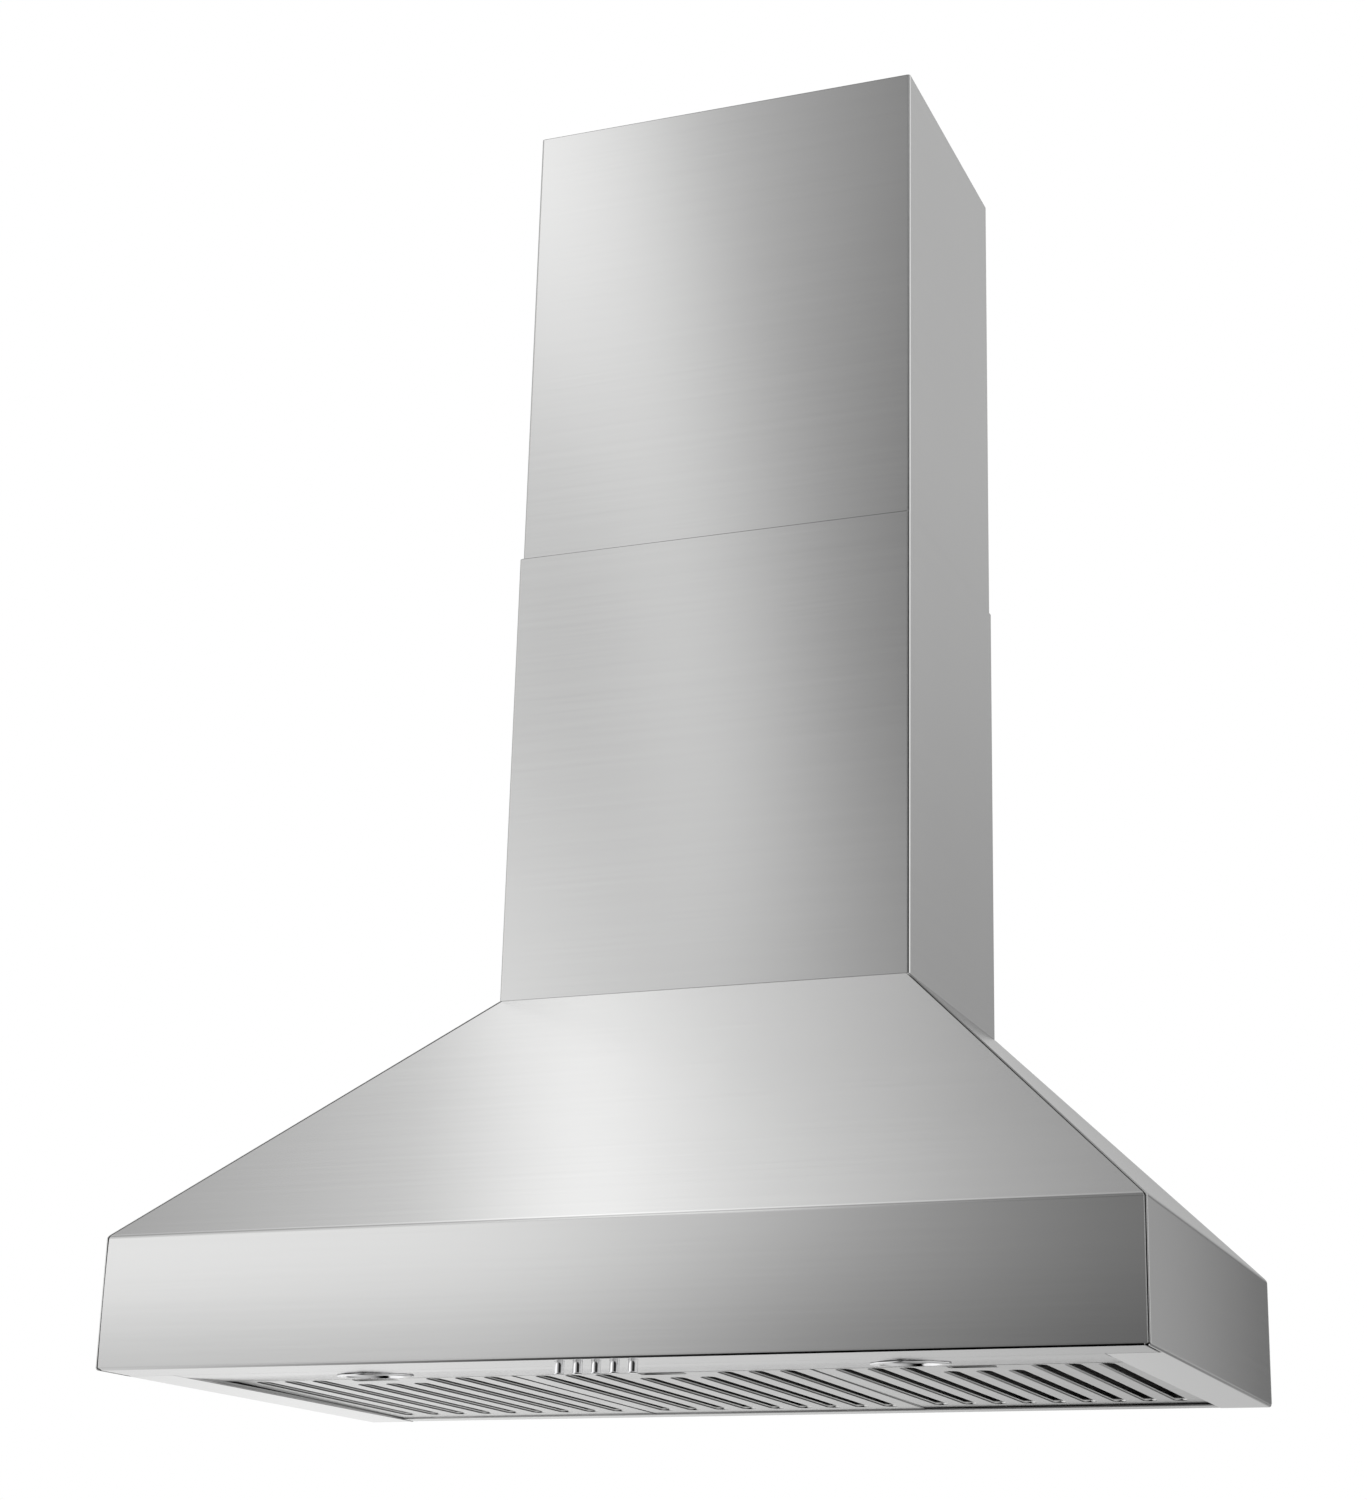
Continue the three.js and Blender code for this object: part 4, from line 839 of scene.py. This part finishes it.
def make_canopy_back():
    """The sheet on the wall, folded forward into the ledge that carries the filters' tongues. Two keyholes
    hang it on screws and two round holes fix it: discs, slots and slot ends are cut one after another."""
    heights = [LEDGE + 2.5 * MM, LEDGE + 2.7 * MM] + [BAND_TOP + k * BAND_BEND / 3 for k in range(-3, 4)]
    corners = [(-LEDGE_DEPTH, LEDGE), (0, LEDGE), *[(0, h) for h in heights], (0, CANOPY_TOP)]
    face = folded(corners, [LEDGE_BEND, *[0] * len(heights)])
    back = beside(face, SHEET)
    height = np.concatenate([face, back[::-1]])[:, 1]
    ends = np.where(height > LEDGE + 2.6 * MM, reach_at(side_face, height), SIDE_FLANGE_EDGE - SEAM)
    surface, uv = sheet_between("x", face, back, -ends, ends, edge=0.3 * MM)
    piece = make_piece("canopy_back_sheet", "canopy_back", "hood", "brushed_steel", surface, uv)
    discs = [rod("y", HEAD_RADIUS, *THROUGH, (x, 0, -KEYHOLE_DROP)) for x in KEYHOLES]
    discs += [rod("y", FIXING_RADIUS, *THROUGH, (x, 0, FIXING_HEIGHT)) for x in FIXINGS]
    low, high = zip((-SHANK_RADIUS, SHANK_RADIUS), THROUGH, (-KEYHOLE_DROP, 0))
    slots = [block(np.add(low, (x, 0, 0)), np.add(high, (x, 0, 0))) for x in KEYHOLES]
    slot_ends = [rod("y", SHANK_RADIUS, *THROUGH, (x, 0, 0)) for x in KEYHOLES]
    for cutters in (discs, slots, slot_ends):
        cut_with(piece, cutters)
    return piece


canopy_back = make_canopy_back()
print("canopy back", len(canopy_back.data.polygons), "faces")

# %% [markdown]
# ## The chimney covers
#
# Each cover is a U of thinner sheet with narrow returns at the wall. The upper one slides inside the lower
# one, so the joint shows the lower cover's cut edge standing a little proud. The bends are tight, about
# two and a half millimetres, and catch a thin bright line down each corner.

# %% Fold the chimney covers
COVER = 1.0 * MM
COVER_BEND = 2.5 * MM
COVER_RETURN = 16 * MM
COVER_INSETS = 1.3 * MM, 4.5 * MM
COVER_OVERLAP = 40 * MM
JOINT = RIM + 801 * MM
TOP = RIM + 1270 * MM


def make_cover(size, body, insets, low, high):
    """A cover's U in plan, from one return round to the other, carried up from low to high. Its insets
    are those of the sides and of the front. Its top edge, away from the bends, is darkened with painted
    shade, a line that stands for the shadow where the cover ends in a joint, and it is brushed crosswise."""
    side, front = HALF_CHIMNEY - insets[0], -CHIMNEY_DEPTH + insets[1]
    right = [(side - COVER_RETURN, -insets[0]), (side, -insets[0]), (side, front)]
    face = folded(right + [(-x, y) for x, y in right[::-1]], [COVER_BEND] * 4, support=0.3 * MM)
    surface, uv = sheet_between("z", face, beside(face, -COVER), low, high, edge=0.45 * MM)
    across, _, height = surface[0].T
    # Painted shade: a dark line along the top edge, standing for the shadow in the joint.
    shade = (height > high - 0.5 * MM) & (np.abs(across) < side - COVER_BEND)
    names = f"{size}_cover_sheet", f"{size}_chimney_cover"
    return make_piece(*names, body, "brushed_steel", surface, uv[:, ::-1], shade)


lower_cover = make_cover("lower", "hood", (0.0, 0.0), CANOPY_TOP, JOINT)
upper_cover = make_cover("upper", "upper_chimney", COVER_INSETS, JOINT - COVER_OVERLAP, TOP)
print("covers from", round(CANOPY_TOP, 3), "to", round(JOINT, 3), "and to", round(TOP, 3))

# %% [markdown]
# ## The light rail
#
# Behind the front flange a folded strip closes the gap to the filters. It hangs on the flange by a
# tongue, slopes up gently, and ends in a lip whose slots take the filters' latch bolts. It is folded like
# the canopy, and its two lamp holes and three slots are cut through. A seat says where a lamp or a filter
# sits: a place, and a tilt about the X axis.

# %% Fold the light rail
RAIL_FRONT = FLANGE_REAR + SEAM
RAIL_REAR = -358 * MM
RAIL_RISE = 4.3 * MM
RAIL_LIP = 20 * MM
RAIL_SLOPE = math.atan2(4.3, 80)
LAMP_Y = -411 * MM
LAMP_HOLE = 27.3 * MM
FILTER_PLACES = [(i - 1) * 820 / 3 * MM for i in range(3)]
BOLT_SLOT_HALF = 9.6 * MM
BOLT_SLOT_LOW = RIM + RAIL_RISE + SHEET
BOLT_SLOT_HEIGHT = 3.7 * MM
LAMP_SEATS = {
    name: ((x, LAMP_Y, RIM + 27 * MM * math.tan(RAIL_SLOPE)), RAIL_SLOPE)
    for name, x in (("left", -240 * MM), ("right", 240 * MM))
}


def make_light_rail():
    """The rail's folded strip, less two lamp holes and three slots for the latch bolts."""
    tongue = [(RAIL_FRONT - 10 * MM, RIM + SHEET + SEAM), (RAIL_FRONT, RIM + SHEET + SEAM)]
    strip = [(RAIL_FRONT, RIM), (RAIL_FRONT + 20 * MM, RIM), (RAIL_REAR, RIM + RAIL_RISE)]
    corners = tongue + strip + [(RAIL_REAR, RIM + RAIL_RISE + RAIL_LIP)]
    face = folded(corners, [0, 0, 0, 1.5 * MM], steps=6, support=0.2 * MM)
    end = SIDE_FLANGE_EDGE - SEAM
    surface, uv = sheet_between("x", face, beside(face, SHEET), -end, end)
    piece = make_piece("light_rail_sheet", "light_rail", "hood", "brushed_steel", surface, uv)
    hole = rod("z", LAMP_HOLE, -20 * MM, 20 * MM, (0, 0, 0), 64)
    low = np.array([-BOLT_SLOT_HALF, RAIL_REAR + THROUGH[0], BOLT_SLOT_LOW])
    high = np.array([BOLT_SLOT_HALF, RAIL_REAR + THROUGH[1], BOLT_SLOT_LOW + BOLT_SLOT_HEIGHT])
    slots = [block(low + (x, 0, 0), high + (x, 0, 0)) for x in FILTER_PLACES]
    cut_with(piece, [seated(hole, seat) for seat in LAMP_SEATS.values()] + slots)
    return piece


light_rail = make_light_rail()
print("light rail", len(light_rail.data.polygons), "faces, lamp seats", LAMP_SEATS)

# %% [markdown]
# ## Turned pieces: lamps and buttons
#
# Rings, glasses, dishes and buttons are all turned about an axis. Each is a profile of (radius, height)
# swept round; its corners are softened with the same fold helper as the sheets, because a sharp edge on
# chrome looks like paper.

# %% Turn a profile


def turned(profile, segments):
    """The surface of a closed profile of (radius, height) swept round Z: profile points by angles.

    Points on the axis fall together at the pole and are merged with the doubles.
    """
    turn = np.linspace(0, 2 * math.pi, segments, endpoint=False)[:, None]
    radius, height = np.broadcast_to(profile.T[:, None], (2, segments, len(profile)))
    points = np.stack([np.cos(turn) * radius, np.sin(turn) * radius, height], axis=-1)
    count = len(profile)
    here = np.arange(segments)[:, None] * count
    after = (np.arange(segments)[:, None] + 1) % segments * count
    along, next_along = np.arange(count), (np.arange(count) + 1) % count
    quads = np.stack([here + along, after + along, after + next_along, here + next_along], axis=-1)
    return points.reshape(-1, 3), [quads.reshape(-1, 4)]


def soft_profile(corners, radii, steps=5):
    """A profile in millimetres whose corners after the first are rounded, ready to turn."""
    return folded(np.array(corners) * MM, [r * MM for r in radii], steps, support=0.1 * MM)


def make_turned(name, node, body, slot, profile, seat, segments):
    """A turned piece on a seat, standing for one node."""
    return make_piece(name, node, body, slot, seated(turned(profile, segments), seat), sharp=32.0)


print("a softened square has", len(soft_profile([(1, 0), (2, 0), (2, 1), (1, 1)], [0.2, 0.2])), "points")

# %% Turn the lamps
LENS_LOW, LENS_HIGH = 1.5, 3.1
DISH_LOW = LENS_HIGH + 0.3
DISH_DEPTH = 20
DISH_TOP = DISH_LOW + DISH_DEPTH
DISH_RIM, DISH_NECK, DISH_WALL = 23.5, 9.0, 1.2
BULB_LOW = DISH_TOP - 15
HOLDER_LOW = DISH_TOP + 0.3


def dish_profile(steps=24):
    """The dish in section: a parabola from the rim on the glass up to the neck, and its wall outside."""
    radius = np.linspace(DISH_RIM, DISH_NECK, steps + 1)
    height = DISH_LOW + DISH_DEPTH * (1 - ((radius - DISH_NECK) / (DISH_RIM - DISH_NECK)) ** 2)
    inner = np.column_stack([radius, height])
    return np.concatenate([inner + [DISH_WALL, 0], inner[::-1]]) * MM


ring = [(24, 1.0), (24.5, 0.6), (25.4, -1.5), (33, -1.5), (33, -0.3), (27, -0.3), (27, 12), (25, 12)]
ring = soft_profile(ring + [(25, 1.2), (24, 1.2)], [0.3, 0.7, 0.9, 0, 0, 0.4, 0.4, 0, 0])
glass = soft_profile([(0, LENS_LOW), (24.7, LENS_LOW), (24.7, LENS_HIGH), (0, LENS_HIGH)], [0.4, 0.4])
bulb = soft_profile([(0, BULB_LOW), (5.5, BULB_LOW), (5.5, DISH_TOP), (0, DISH_TOP)], [4.5, 0.6], 8)
holder = [(0, 0), (13, 0), (13, 5), (11.8, 6), (11.8, 10), (13, 11), (13, 16), (0, 16)]
holder = soft_profile([(r, HOLDER_LOW + h) for r, h in holder], [1.0, 0.4, 0.4, 0.4, 0.4, 1.0])
LAMP_PIECES = [
    ("lamp_ring_chrome", "lamp_ring", "chrome", ring, 96),
    ("lamp_glass", "lamp_lens", "glass", glass, 72),
    ("lamp_dish", "lamp_reflector", "reflector", dish_profile(), 72),
    ("lamp_capsule", "lamp_bulb", "glass", bulb, 32),
    ("lamp_base", "lamp_holder", "ceramic", holder, 48),
]
for side, seat in LAMP_SEATS.items():
    for name, node, slot, profile, segments in LAMP_PIECES:
        make_turned(f"{name}_{side}", f"{node}_{side}", "hood", slot, profile, seat, segments)

# %% Turn the buttons
BUTTON_LOW, COLLAR_LOW, COLLAR_HIGH, STEM_HIGH = -10.5, 1.5, 3.5, 10.5
BUTTON_RADIUS, COLLAR_RADIUS, STEM_RADIUS = 4, 5.6, 2.5


def button_profile():
    """A button in section: a crowned face, a rounded edge, the barrel, and the collar and stem inside."""
    corners = [(0, BUTTON_LOW), (2.6, BUTTON_LOW + 0.15), (BUTTON_RADIUS, BUTTON_LOW + 0.55)]
    corners += [(BUTTON_RADIUS, COLLAR_LOW), (COLLAR_RADIUS, COLLAR_LOW), (COLLAR_RADIUS, COLLAR_HIGH)]
    corners += [(STEM_RADIUS, COLLAR_HIGH), (STEM_RADIUS, STEM_HIGH), (0, STEM_HIGH)]
    return soft_profile(corners, [3.0, 0.7, 0, 0.2, 0.2, 0, 0.4])


for i, x in enumerate(BUTTON_PLACES, start=1):
    names = f"button_chrome_{i}", f"button_{i}", f"push_button_{i}"
    make_turned(*names, "chrome", button_profile(), ((x, BUTTON_Y, RIM), 0.0), 48)
print("buttons reach down to", round(RIM + BUTTON_LOW * MM, 4))

# %% [markdown]
# ## The grease filters
#
# Each filter is a shallow pan pressed from bright sheet: nine long slots whose edges are rolled inwards,
# four low walls, two tongues behind and a finger recess in front. Steam goes up through the slots and has
# to turn round the channels above them, which throws the grease out. Cutting slots into a plate would
# leave knife edges; the rolled lips are what catches the light here, so the pan is built like terraces:
# rings of points follow the outline and every slot, from the lower face round the bend to the upper face.

# %% Build a pressed plate
SUPPORT = 0.3 * MM


def rectangle_ring(low, high, radius, steps=4):
    """A closed ring round a rectangle in (x, y) with quarter-circle corners."""
    (x0, y0), (x1, y1) = np.add(low, radius), np.subtract(high, radius)
    arcs = []
    for k, centre in enumerate([(x1, y1), (x0, y1), (x0, y0), (x1, y0)]):
        turn = np.linspace(0, math.pi / 2, steps + 1) + k * math.pi / 2
        arcs.append(centre + radius * np.column_stack([np.cos(turn), np.sin(turn)]))
    return np.concatenate(arcs)


def slot_ring(x, front, rear, half, steps=10):
    """A closed ring round a slot along Y: half circles of a half width about its two end centres."""
    turn = np.linspace(0, math.pi, steps + 1)
    arc = np.column_stack([np.cos(turn), np.sin(turn)]) * half
    return np.concatenate([arc + [x, rear], -arc + [x, front]])


def flat_part(rings, height, upwards):
    """Triangles over the flat area inside the first ring and outside the others, which are holes: a
    triangle whose corners all belong to one convex hole lies in that hole, and goes. The triangulation
    turns left, so the underside's triangles are reversed."""
    counts = [len(ring) for ring in rings]
    owner = np.repeat(np.arange(len(rings)), counts)
    starts = np.cumsum([0] + counts[:-1]).tolist()
    edges = [(s + i, s + (i + 1) % c) for s, c in zip(starts, counts) for i in range(c)]
    made = geometry.delaunay_2d_cdt([Vector(p) for p in np.concatenate(rings)], edges, [], 2, 1e-7)
    triangles = np.array([list(face) for face in made[2]])
    owners = owner[triangles]
    triangles = triangles[~((owners[:, 0] > 0) & (owners == owners[:, :1]).all(axis=1))]
    points = in_space("z", [tuple(p) for p in made[0]], height)
    return points, [triangles if upwards else triangles[:, ::-1]]


def terraces(rings, heights, inwards):
    """The surface of a stack of rings, each at its height; inwards for a hole's stack."""
    count = len(rings[0])
    points = np.concatenate([in_space("z", ring, height) for ring, height in zip(rings, heights)])
    faces = [ring_quads(i * count, (i + 1) * count, count) for i in range(len(rings) - 1)]
    return points, [f[:, ::-1] for f in faces] if inwards else faces


def pressed_plate(outline, holes=()):
    """A closed plate: outline and each hole are (rings, heights) from the lower flat to the upper flat."""
    parts = [terraces(*outline, False)] + [terraces(*hole, True) for hole in holes]
    for k, upwards in ((0, False), (-1, True)):
        rings = [stack[0][k] for stack in [outline, *holes]]
        parts.append(flat_part(rings, outline[1][k], upwards))
    return several(parts)


def lip(radius, height, sheet, steps=6, wall_supports=False):
    """A rolled lip in section as (distance from the opening, height): flat, round the bend, up to the
    edge, over the sheet's thickness, and back down round the inside of the bend to the upper face. Wall
    supports are two more points that keep a high wall's normals flat."""
    turn = np.linspace(0, math.pi / 2, steps + 1)
    bend = np.column_stack([np.sin(turn), np.cos(turn)])
    outer, inner = radius - radius * bend, radius - (radius - sheet) * bend[::-1]
    flat = radius + SUPPORT
    wall = [(0, height), (sheet, height)]
    if wall_supports:
        wall = [(0, flat), *wall, (sheet, flat)]
    return np.concatenate([[(flat, 0)], outer, wall, inner, [(flat, sheet)]])


def soft_block(low, high, corner, edge, steps=3):
    """A block with rounded upright corners whose top and bottom edges are rounded too."""
    (*low, z0), (*high, z1) = low, high
    rolled, risen = (edge * part for part in quarter(steps))
    inset, heights = np.concatenate([rolled, risen]), np.concatenate([z0 + risen, z1 - rolled])
    rings = [rectangle_ring(np.add(low, d), np.subtract(high, d), max(corner - d, 0.05 * MM)) for d in inset]
    return pressed_plate((rings, heights))


print("a lip has", len(lip(1.5 * MM, 2.6 * MM, 0.8 * MM)), "terraces")

# %% Press the filter pans
FILTER_WIDTH = (820 / 3 - 1) * MM
FILTER_LENGTH = 331.5 * MM
PAN_SHEET = 1.0 * MM
PAN_HEIGHT = 14 * MM
PAN_BEND = 1.6 * MM
PAN_CORNER = 2.2 * MM
SLOT_HALF = 5.5 * MM
SLOT_PITCH = (FILTER_WIDTH - 2 * 18.6 * MM - 2 * SLOT_HALF) / 8
SLOT_PLACES = [(i - 4) * SLOT_PITCH for i in range(9)]
SLOT_REAR = -28 * MM
SLOT_MARGIN, LATCH_MARGIN = 6 * MM, 39 * MM
LATCH_SLOTS = range(3, 6)
SLOT_LIP = lip(1.8 * MM, 2.7 * MM, 0.8 * MM)
RECESS_LOW = np.array([-20.5, -327.5]) * MM
RECESS_HIGH = np.array([20.5, -315.5]) * MM
RECESS_LIP = lip(1.0 * MM, 1.0 * MM, 0.99 * MM, 4)
RECESS_CORNER = 2.0 * MM
TONGUE_LOW, TONGUE_HIGH = (-22 * MM, -1 * MM, 0), (22 * MM, 12 * MM, PAN_SHEET)
BOLT_HOLE_LOW = (-9.3 * MM, -FILTER_LENGTH - 5 * MM, PAN_SHEET + 0.2 * MM)
BOLT_HOLE_HIGH = (9.3 * MM, -FILTER_LENGTH + 1.5 * MM, 4.1 * MM)
FILTER_REAR = -25.3 * MM
FILTER_HEIGHTS = {"left": -238.395 * MM, "middle": -238.395 * MM, "right": -237.6 * MM}
FILTER_FRONT = -235.5 * MM
FILTER_SEATS = {
    name: ((x, FILTER_REAR, height), -math.asin((FILTER_FRONT - height) / FILTER_LENGTH))
    for x, (name, height) in zip(FILTER_PLACES, FILTER_HEIGHTS.items())
}


def pan_outline():
    """The rings of the pan's walls: out round the bend, up, over the top edge, and down inside."""
    section = lip(PAN_BEND, PAN_HEIGHT, PAN_SHEET, steps=5, wall_supports=True)
    low, high = np.array([-FILTER_WIDTH / 2, -FILTER_LENGTH]), np.array([FILTER_WIDTH / 2, 0])
    rings = [rectangle_ring(low + d, high - d, max(PAN_CORNER - d, 0.2 * MM)) for d in section[:, 0]]
    return rings, section[:, 1]


def pan_holes():
    """The stacks of rings of the nine slots and of the finger recess. Three slots start further back, to
    leave room for the latch."""
    stacks = []
    for i, x in enumerate(SLOT_PLACES):
        front = -FILTER_LENGTH + (LATCH_MARGIN if i in LATCH_SLOTS else SLOT_MARGIN) + SLOT_HALF
        rings = [slot_ring(x, front, SLOT_REAR - SLOT_HALF, SLOT_HALF + d) for d in SLOT_LIP[:, 0]]
        stacks.append((rings, SLOT_LIP[:, 1]))
    recess = [rectangle_ring(RECESS_LOW - d, RECESS_HIGH + d, RECESS_CORNER + d) for d in RECESS_LIP[:, 0]]
    return stacks + [(recess, RECESS_LIP[:, 1])]


def make_pan(side, seat):
    """A pan with its two tongues, less the hole that the latch bolt passes through."""
    parts = [pressed_plate(pan_outline(), pan_holes())]
    for x in (-80 * MM, 80 * MM):
        low, high = np.add(TONGUE_LOW, (x, 0, 0)), np.add(TONGUE_HIGH, (x, 0, 0))
        parts.append(soft_block(low, high, 2.5 * MM, 0.2 * MM))
    names = f"filter_pan_pressed_{side}", f"filter_pan_{side}", f"filter_{side}"
    piece = make_piece(*names, "filter_steel", seated(several(parts), seat))
    cut_with(piece, [seated(block(BOLT_HOLE_LOW, BOLT_HOLE_HIGH), seat)])
    return piece


pans = [make_pan(side, seat) for side, seat in FILTER_SEATS.items()]
print("a pan has", len(pans[0].data.polygons), "faces")

# %% Fold the baffles
CHANNEL_LOW, CHANNEL_HIGH, CHANNEL_HALF = 4 * MM, 12 * MM, 10 * MM
CHANNEL_FRONT, BAR_FRONT, CHANNEL_REAR = -FILTER_LENGTH + 2 * MM, -FILTER_LENGTH + 28.5 * MM, -2.3 * MM
BAR_HALF = FILTER_WIDTH / 2 - 1.3 * MM
BAR_DEPTH = 6 * MM


def bar(low_x, high_x, start):
    """A bar across the channels' height, from one x to another."""
    high = (high_x, start + BAR_DEPTH, CHANNEL_HIGH)
    return soft_block((low_x, start, CHANNEL_LOW), high, 0.8 * MM, 0.5 * MM)


def make_baffles(side, seat):
    """Nine channels upside down over the slots, tied by a bar across each end that stands on feet."""
    parts = []
    for i, x in enumerate(SLOT_PLACES):
        left, right = x - CHANNEL_HALF, x + CHANNEL_HALF
        corners = [(left, CHANNEL_LOW), (left, CHANNEL_HIGH), (right, CHANNEL_HIGH), (right, CHANNEL_LOW)]
        face = folded(corners, [2 * MM] * 2, 5)
        start = BAR_FRONT if i in LATCH_SLOTS else CHANNEL_FRONT
        parts.append(sheet_between("y", face, beside(face, -1 * MM), start, CHANNEL_REAR)[0])
        if start == CHANNEL_FRONT:
            parts.append(bar(left, right, start))
    for start in (BAR_FRONT, CHANNEL_REAR - BAR_DEPTH):
        parts.append(bar(-BAR_HALF, BAR_HALF, start))
        for x in (-1.5 * SLOT_PITCH, 1.5 * SLOT_PITCH):
            foot = (x - 4 * MM, start, 1.3 * MM), (x + 4 * MM, start + BAR_DEPTH, 5 * MM)
            parts.append(soft_block(*foot, 0.5 * MM, 0.2 * MM))
    names = f"filter_channels_{side}", f"filter_baffles_{side}", f"filter_{side}"
    # The channels take the darker steel, which is painted shade for the shadow inside the filters.
    return make_piece(*names, "filter_steel", seated(several(parts), seat), finish="channel_steel_painted_shade")


channels = [make_baffles(side, seat) for side, seat in FILTER_SEATS.items()]
print("channels of a filter have", len(channels[0].data.polygons), "faces")

# %% Press the latches
LATCH_LOW, LATCH_CEILING, LATCH_HIGH = 1.3 * MM, 7.3 * MM, 9.3 * MM
LATCH_FILLET = 1.2 * MM
CUP_LOW = np.array([-22.5 * MM, -FILTER_LENGTH + 1.3 * MM])
CUP_HIGH = np.array([22.5 * MM, RECESS_HIGH[1] + 2 * MM])
BOLT_LOW = (-9 * MM, -FILTER_LENGTH - 7.4 * MM, LATCH_LOW)
BOLT_HIGH = (9 * MM, -FILTER_LENGTH + 2.3 * MM, LATCH_LOW + 2.5 * MM)


def make_latch(side, seat):
    """A cup over the recess, open downwards, for a fingertip, with the bolt in front. The cup's rings go
    from its ceiling down inside, round the lower edge, and up outside to its top."""
    rolled, risen = (LATCH_FILLET * part for part in quarter(4))
    inside = [(LATCH_FILLET + SUPPORT, LATCH_CEILING), *zip(rolled, LATCH_CEILING - risen)]
    inside += [(0, LATCH_LOW + SUPPORT), (-SUPPORT, LATCH_LOW)]
    outside = [(SUPPORT, LATCH_LOW), (0, LATCH_LOW + SUPPORT), *zip(risen, LATCH_HIGH - rolled)]
    outside.append((LATCH_FILLET + SUPPORT, LATCH_HIGH))
    stack = [(RECESS_LOW, RECESS_HIGH, *row) for row in inside]
    stack += [(CUP_LOW, CUP_HIGH, *row) for row in outside]
    rings = [rectangle_ring(a + d, b - d, max(RECESS_CORNER - d, 0.3 * MM)) for a, b, d, _ in stack]
    cup = pressed_plate((rings, [height for *_, height in stack]))
    surface = seated(several([cup, soft_block(BOLT_LOW, BOLT_HIGH, 1.5 * MM, 0.4 * MM)]), seat)
    return make_piece(f"latch_cup_{side}", f"filter_latch_{side}", f"latch_{side}", "chrome", surface)


latches = [make_latch(side, seat) for side, seat in FILTER_SEATS.items()]
print("latches", [piece.name for piece in latches])
